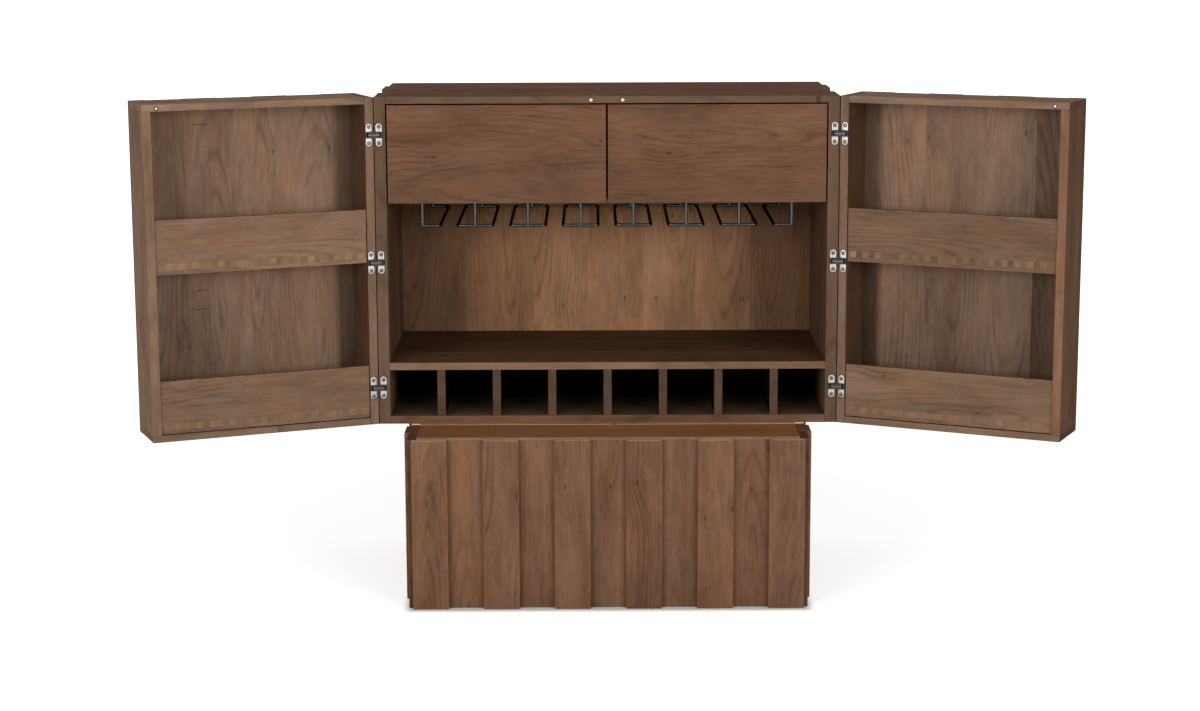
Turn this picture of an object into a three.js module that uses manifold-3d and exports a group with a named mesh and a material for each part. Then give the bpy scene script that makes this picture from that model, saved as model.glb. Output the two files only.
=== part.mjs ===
// Bar armoire: a slatted box base, a carcass with two drawers over a stemware niche and
// eight bottle cubbies, and two deep box doors with trays, hung on concealed hinges.
// Millimetres. X runs to the right, Y into the cabinet and Z up. The origin is the
// centre of the base's underside. The model stands with both doors open.

import * as THREE from "three";
import { mergeVertices } from "three/addons/utils/BufferGeometryUtils.js";
import Module from "manifold-3d";

const wasm = await Module();
wasm.setup();

// Driving dimensions of the carcass
const carcassWidth = 965;
const carcassDepth = 405;
const carcassHeight = 689;
const sideBoard = 24;
const sideRecess = 8;
const sideSlatShares = [0.3, 0.24, 0.23, 0.23];
const topBoard = 14;
const bottomBoard = 17;
const backBoard = 13;
const seam = 0.3;

// Bottle cubbies and the bar shelf over them
const cubbyCount = 8;
const cubbyHeight = 98.5;
const dividerBoard = 17;
const dividerSetback = 1;
const shelfBoard = 15.5;

// Drawers, the deck that carries them and the bars that they run on
const drawerFrontHeight = 204;
const drawerFrontBoard = 18;
const drawerFrontRecess = 1;
const drawerFrontGap = 3;
const drawerCentreGap = 4;
const drawerBoxTopDrop = 33;
const drawerBackGap = 17.7;
const drawerBoxInset = 12;
const drawerWall = 12;
const drawerBottom = 14;
const drawerLift = 1;
const deckBoard = 15;
const deckLift = 5;
const deckSetback = 20;
const slideWidth = 40;
const slideHeight = 14;
const slideSetback = 4;
const slideBackGap = 21;
const runningGap = 0.3;
const grooveEnd = 6;

// Stemware rails: loops of wire that hang from the deck on a front and a back strut
const railCount = 8;
const railWallGap = 72.1;
const railSlot = 30.4;
const railSetback = 25;
const railBackGap = 25;
const railDrop = 55;
const railCorner = 9;
const wireDiameter = 6.6;

// Base box
const baseHeight = 358;
const baseLedge = 159;
const baseFrontInset = 77;
const baseFrontBoard = 20;
const baseFrontProud = 13;
const baseFrontSlats = 11;
const baseSideBoard = 18;
const baseSideProud = 10;
const baseSideStep = 9;
const baseSideSlats = 8;
const baseInnerBoard = 18;
const riserHeight = 3;
const riserRoot = 3;
const riserSetback = 1;

// Doors
const doorDepth = 130;
const doorPanelBoard = 24;
const doorPanelRecess = 8;
const doorSideBoard = 18;
const doorEndBoard = 14;
const doorRimGap = 1.2;
const doorHingeInset = 0.4;
const doorMeetingGap = 3;
const closedFrontSlats = 13;
const leftDoorOpenDegrees = 157.6;
const rightDoorOpenDegrees = 154.4;

// Door trays: a bottom board, jointed through an upright rail a little above its lower edge
const trayRailHeight = 111;
const trayRailBoard = 14;
const trayBottomBoard = 13;
const trayBottomLift = 9;
const trayRimSetback = 3;

// Concealed hinges: one leaf let into the carcass edge and one into the door's rim
const leafLength = 48;
const leafWidth = 13;
const leafThickness = 3;
const leafEdgeDistance = 10.6;
const leafEndDistance = 78;
const leafSlotLength = 19;
const leafSlotWidth = 8;
const leafScrewHole = 4.5;
const leafScrewSpacing = 34;
const hingeCavityDepth = 18;
const cutOverrun = 1;

// Numbers of segments on round shapes
const wireCornerSegments = 2;
const leafEndSegments = 4;
const holeSegments = 4;
const strutSides = 8;

// Levels that follow from the driving dimensions
const carcassBottomZ = baseHeight + riserHeight;
const carcassTopZ = carcassBottomZ + carcassHeight;
const openingTopZ = carcassTopZ - topBoard;
const bottomTopZ = carcassBottomZ + bottomBoard;
const shelfUnderZ = bottomTopZ + cubbyHeight;
const shelfTopZ = shelfUnderZ + shelfBoard;
const drawerFrontTopZ = openingTopZ - drawerFrontGap;
const drawerFrontUnderZ = drawerFrontTopZ - drawerFrontHeight;
const deckUnderZ = drawerFrontUnderZ + deckLift;
const deckTopZ = deckUnderZ + deckBoard;

const baseDepth = baseLedge + carcassDepth;
const baseFrontY = -baseDepth / 2;
const baseBackY = baseDepth / 2;
const carcassFrontY = baseFrontY + baseLedge;
const carcassBackY = carcassFrontY + carcassDepth;
const interiorBackY = carcassBackY - backBoard;

const carcassHalf = carcassWidth / 2;
const carcassMiddleZ = (carcassBottomZ + carcassTopZ) / 2;
const interiorHalf = carcassHalf - sideBoard;
const interiorDepth = interiorBackY - carcassFrontY;

const leafHeights = {
  lower: carcassBottomZ + leafEndDistance,
  middle: carcassMiddleZ,
  upper: carcassTopZ - leafEndDistance,
};

const sides = [
  { name: "left", sign: -1, openDegrees: leftDoorOpenDegrees },
  { name: "right", sign: 1, openDegrees: rightDoorOpenDegrees },
];

const finishes = {
  wood: new THREE.MeshStandardMaterial({ color: 0x7d6250, roughness: 0.72, metalness: 0 }),
  baseWood: new THREE.MeshStandardMaterial({ color: 0x836348, roughness: 0.72, metalness: 0 }),
  ledgeWood: new THREE.MeshStandardMaterial({ color: 0x5f4330, roughness: 0.7, metalness: 0 }),
  doorWood: new THREE.MeshStandardMaterial({ color: 0x7a6150, roughness: 0.72, metalness: 0 }),
  trayWood: new THREE.MeshStandardMaterial({ color: 0x80614a, roughness: 0.7, metalness: 0 }),
  drawerWood: new THREE.MeshStandardMaterial({ color: 0x75584a, roughness: 0.7, metalness: 0 }),
  blackWire: new THREE.MeshStandardMaterial({ color: 0x17181a, roughness: 0.42, metalness: 0.6 }),
  hingeZinc: new THREE.MeshStandardMaterial({ color: 0xa9a49b, roughness: 0.34, metalness: 0.9 }),
  slideSteel: new THREE.MeshStandardMaterial({ color: 0x9a9c9e, roughness: 0.36, metalness: 0.9 }),
};

// A board between two x, two y and two z values, given in any order.
function board(xs, ys, zs) {
  const size = [xs, ys, zs].map(([a, b]) => Math.abs(b - a));
  const middle = [xs, ys, zs].map(([a, b]) => (a + b) / 2);
  return new THREE.BoxGeometry(...size).translate(...middle);
}

// An upright prism on a plan outline.
function prism(outline, bottomZ, topZ) {
  const options = { depth: topZ - bottomZ, bevelEnabled: false };
  return new THREE.ExtrudeGeometry(new THREE.Shape(outline), options).translate(0, 0, bottomZ);
}

// A shape drawn upright in the XZ plane, carried from frontY to backY.
function uprightPlate(shape, frontY, backY, curveSegments) {
  const depth = backY - frontY;
  const geometry = new THREE.ExtrudeGeometry(shape, { depth, bevelEnabled: false, curveSegments });
  return geometry.rotateX(Math.PI / 2).translate(0, backY, 0);
}

function toSolid(geometry) {
  const bare = geometry.clone();
  bare.deleteAttribute("normal");
  bare.deleteAttribute("uv");
  const merged = mergeVertices(bare);
  return new wasm.Manifold(new wasm.Mesh({
    numProp: 3,
    vertProperties: new Float32Array(merged.attributes.position.array),
    triVerts: new Uint32Array(merged.index.array),
  }));
}

function toGeometry(solid) {
  const mesh = solid.getMesh();
  const geometry = new THREE.BufferGeometry();
  geometry.setAttribute("position", new THREE.BufferAttribute(mesh.vertProperties, 3));
  geometry.setIndex(new THREE.BufferAttribute(mesh.triVerts, 1));
  geometry.computeVertexNormals();
  return geometry;
}

function join(...geometries) {
  return toGeometry(geometries.map(toSolid).reduce((whole, part) => whole.add(part)));
}

function cut(geometry, cutters) {
  const whole = toSolid(geometry);
  return toGeometry(cutters.map(toSolid).reduce((rest, cutter) => rest.subtract(cutter), whole));
}

function addPiece(group, name, geometry, finish) {
  const mesh = new THREE.Mesh(geometry, finish);
  mesh.name = name;
  group.add(mesh);
}

// Outer face of a panel glued up from slats: every second slat stands proud.
// edges are the slats' limits along the panel, and place gives the plan point.
function slatFace(edges, firstIsThick, thick, thin, place) {
  return edges.slice(1).flatMap((end, i) => {
    const isThick = (i % 2 === 0) === firstIsThick;
    const face = isThick ? thick : thin;
    return [place(edges[i], face), place(end, face)];
  });
}

function evenEdges(start, end, count) {
  return Array.from({ length: count + 1 }, (_, i) => start + ((end - start) * i) / count);
}

// Upright stadium outline, round at both ends, centred on a point.
function stadium(centreX, centreZ, length, width) {
  const radius = width / 2;
  const reach = length / 2 - radius;
  const shape = new THREE.Shape();
  shape.moveTo(centreX + radius, centreZ - reach);
  shape.lineTo(centreX + radius, centreZ + reach);
  shape.absarc(centreX, centreZ + reach, radius, 0, Math.PI);
  shape.lineTo(centreX - radius, centreZ - reach);
  shape.absarc(centreX, centreZ - reach, radius, Math.PI, Math.PI * 2);
  return shape;
}

function circle(centreX, centreZ, diameter) {
  const shape = new THREE.Shape();
  shape.absarc(centreX, centreZ, diameter / 2, 0, Math.PI * 2);
  return shape;
}

// The mortise for a hinge leaf: a shallow bed and a deeper cavity for the links.
// inward is the direction, along Y, in which the mortise goes into the wood from faceY.
function leafMortise(centreX, centreZ, faceY, inward) {
  const carve = (length, width, depth) => {
    const ends = [faceY - inward * cutOverrun, faceY + inward * depth];
    const outline = stadium(centreX, centreZ, length + 2 * seam, width + 2 * seam);
    return uprightPlate(outline, Math.min(...ends), Math.max(...ends), leafEndSegments);
  };
  return [
    carve(leafLength, leafWidth, leafThickness + seam),
    carve(leafSlotLength, leafSlotWidth, hingeCavityDepth),
  ];
}

// A hinge leaf lies flush in its mortise, with a slot for the links and two screw holes.
function hingeLeaf(centreX, centreZ, faceY, inward) {
  const faces = [faceY, faceY + inward * leafThickness];
  const through = [Math.min(...faces) - cutOverrun, Math.max(...faces) + cutOverrun];
  const plate = uprightPlate(
    stadium(centreX, centreZ, leafLength, leafWidth),
    Math.min(...faces), Math.max(...faces), leafEndSegments,
  );
  const slot = uprightPlate(
    stadium(centreX, centreZ, leafSlotLength, leafSlotWidth), ...through, leafEndSegments,
  );
  const screwHoles = [-1, 1].map((end) => uprightPlate(
    circle(centreX, centreZ + (end * leafScrewSpacing) / 2, leafScrewHole), ...through, holeSegments,
  ));
  return cut(plate, [slot, ...screwHoles]);
}

// Base: slatted front and sides, plain back, and a top and bottom board let in between
function addBase(group) {
  const frontHalf = carcassHalf - baseFrontInset;
  const thinSideHalf = frontHalf + baseSideStep;
  const innerHalf = thinSideHalf - baseSideBoard;
  const sideFrontY = baseFrontY + baseFrontProud;
  const frontInnerY = sideFrontY + baseFrontBoard;
  const fillHalf = innerHalf - seam;

  const frontPoint = (x, outward) => new THREE.Vector2(x, frontInnerY - outward);
  const rebate = baseFrontBoard + seam;
  const frontOutline = [
    frontPoint(-fillHalf, 0),
    frontPoint(-fillHalf, rebate),
    frontPoint(-frontHalf, rebate),
    ...slatFace(
      evenEdges(-frontHalf, frontHalf, baseFrontSlats), true,
      baseFrontBoard + baseFrontProud, baseFrontBoard, frontPoint,
    ),
    frontPoint(frontHalf, rebate),
    frontPoint(fillHalf, rebate),
    frontPoint(fillHalf, 0),
  ];
  addPiece(group, "base_front", prism(frontOutline, 0, baseHeight), finishes.baseWood);

  for (const { name, sign } of sides) {
    const sidePoint = (y, outward) => new THREE.Vector2(sign * (innerHalf + outward), y);
    const outline = [
      sidePoint(sideFrontY, 0),
      ...slatFace(
        evenEdges(sideFrontY, baseBackY, baseSideSlats), false,
        baseSideBoard + baseSideProud, baseSideBoard, sidePoint,
      ),
      sidePoint(baseBackY, 0),
    ];
    addPiece(group, `base_${name}_side`, prism(outline, 0, baseHeight), finishes.baseWood);
  }

  const fill = [-fillHalf, fillHalf];
  const backInnerY = baseBackY - baseInnerBoard;
  const fillYs = [frontInnerY + seam, backInnerY - seam];
  addPiece(group, "base_back", board(fill, [backInnerY, baseBackY], [0, baseHeight]), finishes.baseWood);
  addPiece(group, "base_bottom", board(fill, fillYs, [0, baseInnerBoard]), finishes.baseWood);

  // The top board carries a low riser that holds the carcass clear of the base
  const riserYs = [carcassFrontY + riserSetback, carcassBackY - riserSetback];
  const riserTopZ = carcassBottomZ - seam;
  const top = join(
    board(fill, fillYs, [baseHeight - baseInnerBoard, baseHeight]),
    board(fill, [riserYs[0], fillYs[1]], [baseHeight - riserRoot, riserTopZ]),
    board([-thinSideHalf, thinSideHalf], riserYs, [baseHeight + seam, riserTopZ]),
  );
  addPiece(group, "base_top", top, finishes.ledgeWood);
}

// Carcass: slatted sides with the hinge leaves, plain top, bottom and back between them
function addCarcass(group) {
  const depthEdges = sideSlatShares.reduce(
    (edges, share) => [...edges, edges.at(-1) + share * carcassDepth], [carcassFrontY],
  );
  const leafX = carcassHalf - leafEdgeDistance;
  for (const { name, sign } of sides) {
    const sidePoint = (y, outward) => new THREE.Vector2(sign * (interiorHalf + outward), y);
    const outline = [
      sidePoint(carcassFrontY, 0),
      ...slatFace(depthEdges, true, sideBoard, sideBoard - sideRecess, sidePoint),
      sidePoint(carcassBackY, 0),
    ];
    const heights = Object.entries(leafHeights);
    const mortises = heights.flatMap(([, z]) => leafMortise(sign * leafX, z, carcassFrontY, 1));
    const side = cut(prism(outline, carcassBottomZ, carcassTopZ), mortises);
    addPiece(group, `carcass_${name}_side`, side, finishes.wood);
    for (const [height, z] of heights) {
      const leaf = hingeLeaf(sign * leafX, z, carcassFrontY, 1);
      addPiece(group, `${name}_case_leaf_${height}`, leaf, finishes.hingeZinc);
    }
  }
  const fill = [-interiorHalf + seam, interiorHalf - seam];
  const fullYs = [carcassFrontY, carcassBackY];
  addPiece(group, "carcass_top", board(fill, fullYs, [openingTopZ, carcassTopZ]), finishes.wood);
  addPiece(group, "carcass_bottom", board(fill, fullYs, [carcassBottomZ, bottomTopZ]), finishes.wood);
  const backZs = [bottomTopZ + seam, openingTopZ - seam];
  addPiece(group, "carcass_back", board(fill, [interiorBackY, carcassBackY], backZs), finishes.wood);
}

// Bar shelf and the dividers under it
function addCubbies(group) {
  const backY = interiorBackY - seam;
  const fill = [-interiorHalf + seam, interiorHalf - seam];
  const shelf = board(fill, [carcassFrontY, backY], [shelfUnderZ, shelfTopZ]);
  addPiece(group, "bar_shelf", shelf, finishes.wood);

  const dividerCount = cubbyCount - 1;
  const cubbyWidth = (2 * interiorHalf - dividerCount * dividerBoard) / cubbyCount;
  const pitch = cubbyWidth + dividerBoard;
  for (let i = 1; i <= dividerCount; i++) {
    const left = -interiorHalf + i * pitch - dividerBoard;
    const divider = board(
      [left, left + dividerBoard],
      [carcassFrontY + dividerSetback, backY],
      [bottomTopZ + seam, shelfUnderZ - seam],
    );
    addPiece(group, `bottle_divider_${i}`, divider, finishes.wood);
  }
}

// Stemware rails. The two at the ends are half loops that open towards the wall.
function addStemwareRails(group) {
  const flat = wireDiameter * (Math.SQRT2 - 1);
  const bevel = (wireDiameter - flat) / 2;
  const options = {
    depth: flat,
    bevelThickness: bevel,
    bevelSize: bevel,
    bevelSegments: 1,
    curveSegments: wireCornerSegments,
  };
  const railPitch = (2 * (interiorHalf - railWallGap)) / (railCount - 1);
  const railLength = interiorDepth - railSetback - railBackGap;
  const halfSpan = (railPitch - railSlot - wireDiameter) / 2;
  const frontStrutY = carcassFrontY + railSetback + wireDiameter / 2;
  const wireZ = deckUnderZ - railDrop;

  // The wire's middle line, widened to the flat of its eight-sided section
  const loopPath = (path, widen) => {
    const x = halfSpan + widen;
    const frontY = -widen;
    const backY = railLength - wireDiameter + widen;
    const radius = railCorner + widen;
    path.moveTo(x - radius, frontY);
    path.absarc(x - radius, frontY + radius, radius, -Math.PI / 2, 0);
    path.absarc(x - radius, backY - radius, radius, 0, Math.PI / 2);
    path.absarc(-x + radius, backY - radius, radius, Math.PI / 2, Math.PI);
    path.absarc(-x + radius, frontY + radius, radius, Math.PI, Math.PI * 1.5);
    return path;
  };
  const halfPath = (path) => {
    const outer = railCorner + flat / 2;
    const inner = railCorner - flat / 2;
    const cornerX = halfSpan - railCorner;
    const backY = railLength - wireDiameter;
    path.moveTo(0, -flat / 2);
    path.absarc(cornerX, railCorner, outer, -Math.PI / 2, 0);
    path.absarc(cornerX, backY - railCorner, outer, 0, Math.PI / 2);
    path.lineTo(0, backY + flat / 2);
    path.lineTo(0, backY - flat / 2);
    path.absarc(cornerX, backY - railCorner, inner, Math.PI / 2, 0, true);
    path.absarc(cornerX, railCorner, inner, 0, -Math.PI / 2, true);
    path.lineTo(0, flat / 2);
    return path;
  };

  const strutHeight = railDrop - seam;
  const wireRadius = wireDiameter / 2;
  const strut = (y) => new THREE.CylinderGeometry(wireRadius, wireRadius, strutHeight, strutSides)
    .rotateX(Math.PI / 2)
    .translate(0, y, strutHeight / 2);
  for (let i = 0; i < railCount; i++) {
    const isEnd = i === 0 || i === railCount - 1;
    const shape = isEnd ? halfPath(new THREE.Shape()) : loopPath(new THREE.Shape(), flat / 2);
    if (!isEnd) {
      shape.holes.push(loopPath(new THREE.Path(), -flat / 2));
    }
    const wire = new THREE.ExtrudeGeometry(shape, options).translate(0, 0, -flat / 2);
    const rail = join(wire, strut(0), strut(railLength - wireDiameter));
    if (i === railCount - 1) {
      rail.rotateZ(Math.PI).translate(0, railLength - wireDiameter, 0);
    }
    rail.translate((i - (railCount - 1) / 2) * railPitch, frontStrutY, wireZ);
    addPiece(group, `stemware_rail_${i + 1}`, rail, finishes.blackWire);
  }
}

// Drawers. Each rides on a bar that runs half in the deck and half in the drawer's bottom.
function addDrawers(group) {
  const frontY = carcassFrontY + drawerFrontRecess;
  const boxFrontY = frontY + drawerFrontBoard + seam;
  const boxBackY = interiorBackY - drawerBackGap;
  const frontOuter = interiorHalf - drawerFrontGap;
  const frontInner = drawerCentreGap / 2;
  const boxOuter = frontOuter - drawerBoxInset;
  const boxInner = frontInner + drawerBoxInset;
  const middleX = (boxOuter + boxInner) / 2;
  const boxUnderZ = deckTopZ + drawerLift;
  const boxTopZ = drawerFrontTopZ - drawerBoxTopDrop;
  const slideUnderZ = deckTopZ - slideHeight / 2;
  const slideTopZ = slideUnderZ + slideHeight;
  const slideYs = [boxFrontY + slideSetback, boxBackY - slideBackGap];
  const grooveHalf = slideWidth / 2 + runningGap;

  const deckGrooves = sides.map(({ sign }) => board(
    [sign * (middleX - grooveHalf), sign * (middleX + grooveHalf)],
    [carcassFrontY, slideYs[1] + grooveEnd],
    [slideUnderZ - runningGap, deckTopZ + cutOverrun],
  ));
  const deck = cut(
    board(
      [-interiorHalf + seam, interiorHalf - seam],
      [carcassFrontY + deckSetback, interiorBackY - seam],
      [deckUnderZ, deckTopZ],
    ),
    deckGrooves,
  );
  addPiece(group, "drawer_deck", deck, finishes.wood);

  for (const { name, sign } of sides) {
    const across = (inner, outer) => [sign * inner, sign * outer];
    const front = board(
      across(frontInner, frontOuter),
      [frontY, frontY + drawerFrontBoard],
      [drawerFrontUnderZ, drawerFrontTopZ],
    );
    addPiece(group, `${name}_drawer_front`, front, finishes.drawerWood);

    const box = cut(
      board(across(boxInner, boxOuter), [boxFrontY, boxBackY], [boxUnderZ, boxTopZ]),
      [
        board(
          across(boxInner + drawerWall, boxOuter - drawerWall),
          [boxFrontY + drawerWall, boxBackY - drawerWall],
          [boxUnderZ + drawerBottom, boxTopZ + cutOverrun],
        ),
        board(
          across(middleX - grooveHalf, middleX + grooveHalf),
          [boxFrontY - cutOverrun, boxBackY + cutOverrun],
          [boxUnderZ - cutOverrun, slideTopZ + runningGap],
        ),
      ],
    );
    addPiece(group, `${name}_drawer_box`, box, finishes.drawerWood);

    const slide = board(
      across(middleX - slideWidth / 2, middleX + slideWidth / 2), slideYs, [slideUnderZ, slideTopZ],
    );
    addPiece(group, `${name}_drawer_slide`, slide, finishes.slideSteel);
  }
}

// One door, drawn closed about its hinge line and turned to stand open. x grows from the
// hinge line towards the meeting edge, and y is zero halfway across the gap at the rim.
function addDoor(group, { name, sign, openDegrees }) {
  const door = new THREE.Group();
  door.position.set(sign * carcassHalf, carcassFrontY - doorRimGap / 2, 0);
  door.rotation.z = THREE.MathUtils.degToRad(sign * openDegrees);
  group.add(door);

  const across = (x) => -sign * x;
  const hingeEdge = doorHingeInset;
  const meetingEdge = carcassHalf - doorMeetingGap / 2;
  const rimY = -doorRimGap / 2;
  const outerY = rimY - doorDepth;
  const panelInnerY = outerY + doorPanelBoard;
  const boardYs = [rimY, panelInnerY + seam];
  const fullZs = [carcassBottomZ, carcassTopZ];

  const slatWidth = carcassWidth / closedFrontSlats;
  const wholeSlats = Math.floor(carcassHalf / slatWidth);
  const slatEdges = [
    hingeEdge,
    ...Array.from({ length: wholeSlats }, (_, i) => (i + 1) * slatWidth),
    meetingEdge,
  ];
  const panelPoint = (x, outward) => new THREE.Vector2(across(x), panelInnerY - outward);
  const panelOutline = [
    panelPoint(hingeEdge, 0),
    ...slatFace(slatEdges, true, doorPanelBoard, doorPanelBoard - doorPanelRecess, panelPoint),
    panelPoint(meetingEdge, 0),
  ];
  addPiece(door, `${name}_door_panel`, prism(panelOutline, ...fullZs), finishes.doorWood);

  // The hinge side runs the full height, and the top and bottom boards end against it
  const hingeSideEdge = hingeEdge + doorSideBoard;
  const endXs = [across(hingeSideEdge + seam), across(meetingEdge)];
  const lowZ = carcassBottomZ + doorEndBoard;
  const highZ = carcassTopZ - doorEndBoard;
  addPiece(door, `${name}_door_top`, board(endXs, boardYs, [highZ, carcassTopZ]), finishes.doorWood);
  addPiece(door, `${name}_door_bottom`, board(endXs, boardYs, [carcassBottomZ, lowZ]), finishes.doorWood);

  const heights = Object.entries(leafHeights);
  const leafX = across(leafEdgeDistance);
  const hingeSide = cut(
    board([across(hingeEdge), across(hingeSideEdge)], boardYs, fullZs),
    heights.flatMap(([, z]) => leafMortise(leafX, z, rimY, -1)),
  );
  addPiece(door, `${name}_door_hinge_side`, hingeSide, finishes.doorWood);
  const freeSide = board(
    [across(meetingEdge - doorSideBoard), across(meetingEdge)],
    boardYs,
    [lowZ + seam, highZ - seam],
  );
  addPiece(door, `${name}_door_free_side`, freeSide, finishes.doorWood);

  const trayXs = [across(hingeSideEdge + seam), across(meetingEdge - doorSideBoard - seam)];
  const trayFrontY = rimY - trayRimSetback;
  const trays = { lower: lowZ + seam, upper: carcassMiddleZ };
  for (const [place, underZ] of Object.entries(trays)) {
    const floorUnderZ = underZ + trayBottomLift;
    const tray = join(
      board(trayXs, [trayFrontY, panelInnerY + seam], [floorUnderZ, floorUnderZ + trayBottomBoard]),
      board(trayXs, [trayFrontY, trayFrontY - trayRailBoard], [underZ, underZ + trayRailHeight]),
    );
    addPiece(door, `${name}_door_${place}_tray`, tray, finishes.trayWood);
  }

  for (const [height, z] of heights) {
    addPiece(door, `${name}_door_leaf_${height}`, hingeLeaf(leafX, z, rimY, -1), finishes.hingeZinc);
  }
}

const armoire = new THREE.Group();
addBase(armoire);
addCarcass(armoire);
addCubbies(armoire);
addStemwareRails(armoire);
addDrawers(armoire);
for (const side of sides) {
  addDoor(armoire, side);
}

export default armoire;
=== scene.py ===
"""Bar armoire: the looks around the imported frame.

A slatted box base carries a case with two drawers, a stemware niche and eight bottle
cubbies, and two deep box doors with trays swing on concealed hinges. Every wooden node is
rebuilt from its separate boards with eased edges, and each board has its own grain.
Sizes are written in millimetres, in the frame's axes: X right, Y into the case, Z up.
"""

import logging
import math
import random
from dataclasses import dataclass, field
from enum import Enum
from typing import Callable, Iterable, Sequence

import bmesh
import bpy
from mathutils import Matrix, Vector


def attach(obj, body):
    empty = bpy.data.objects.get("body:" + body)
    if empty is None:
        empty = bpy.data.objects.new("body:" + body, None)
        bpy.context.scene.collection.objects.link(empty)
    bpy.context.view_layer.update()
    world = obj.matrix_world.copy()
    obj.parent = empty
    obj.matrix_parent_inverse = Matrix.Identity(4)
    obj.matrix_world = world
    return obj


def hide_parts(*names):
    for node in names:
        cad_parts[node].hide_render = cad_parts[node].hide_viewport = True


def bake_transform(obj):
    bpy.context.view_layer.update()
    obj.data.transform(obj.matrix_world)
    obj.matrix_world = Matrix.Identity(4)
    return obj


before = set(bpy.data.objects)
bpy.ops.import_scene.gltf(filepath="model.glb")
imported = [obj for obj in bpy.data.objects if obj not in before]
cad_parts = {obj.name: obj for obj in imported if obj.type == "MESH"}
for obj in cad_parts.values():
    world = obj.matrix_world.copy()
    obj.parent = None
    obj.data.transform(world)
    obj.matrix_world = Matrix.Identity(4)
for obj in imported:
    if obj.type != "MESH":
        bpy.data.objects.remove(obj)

LOG = logging.getLogger("bar_armoire")

MILLIMETRE = 0.001
BOARD_ATTRIBUTE = "board"
SEED_ATTRIBUTE = "seed"
MARKS_ATTRIBUTE = "marks"

# The least part of a face's normal along an axis that it looks along, or that it lies square to.
FACING = 0.9
SQUARE = 0.999
# Edges that turn by more than this are eased, or shaded sharp on wire and on plates.
SHARP_EDGE = math.radians(30)
SHARP_WIRE = math.radians(50)
SHARP_PLATE = math.radians(35)
# Between these limits the tone of a board is drawn when it isn't given.
TONE_LIMITS = (0.36, 0.64)
# How far a cutter reaches past the face that it cuts.
PAST = 1.0

Point = tuple[float, float, float]
Plan = tuple[float, float]
Colour = tuple[float, float, float]


class Axis(Enum):
    """An axis of the frame, or of a door's own frame."""

    X = 0
    Y = 1
    Z = 2


class Side(Enum):
    """The left or the right half of the armoire, with its sign along X."""

    LEFT = -1
    RIGHT = 1

    @property
    def label(self) -> str:
        """The side's name as the frame's nodes write it."""
        return self.name.lower()


def linear(red: int, green: int, blue: int) -> Colour:
    """Turns a display colour into the linear values that shaders take.

    Args:
        red: Red from 0 to 255.
        green: Green from 0 to 255.
        blue: Blue from 0 to 255.

    Returns:
        The linear red, green and blue.
    """
    shares = [channel / 255 for channel in (red, green, blue)]
    return tuple(s / 12.92 if s <= 0.04045 else ((s + 0.055) / 1.055) ** 2.4 for s in shares)


def scaled(colour: Colour, share: float) -> Colour:
    """Makes a colour lighter or darker.

    Args:
        colour: The linear colour.
        share: What every channel is multiplied by.

    Returns:
        The changed colour.
    """
    return tuple(channel * share for channel in colour)


def ramp(value: float, low: float, high: float) -> float:
    """Rises evenly between two limits.

    Args:
        value: The number that is looked at.
        low: Where the rise starts.
        high: Where the rise ends.

    Returns:
        0 up to low, 1 from high on.
    """
    return min(1.0, max(0.0, (value - low) / (high - low)))


def even_edges(start: float, end: float, count: int) -> list[float]:
    """Divides a length evenly.

    Args:
        start: Where the first part starts.
        end: Where the last part ends.
        count: The number of parts.

    Returns:
        The limits of the parts, one more than there are parts.
    """
    return [start + (end - start) * i / count for i in range(count + 1)]


# Shader graphs


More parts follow.
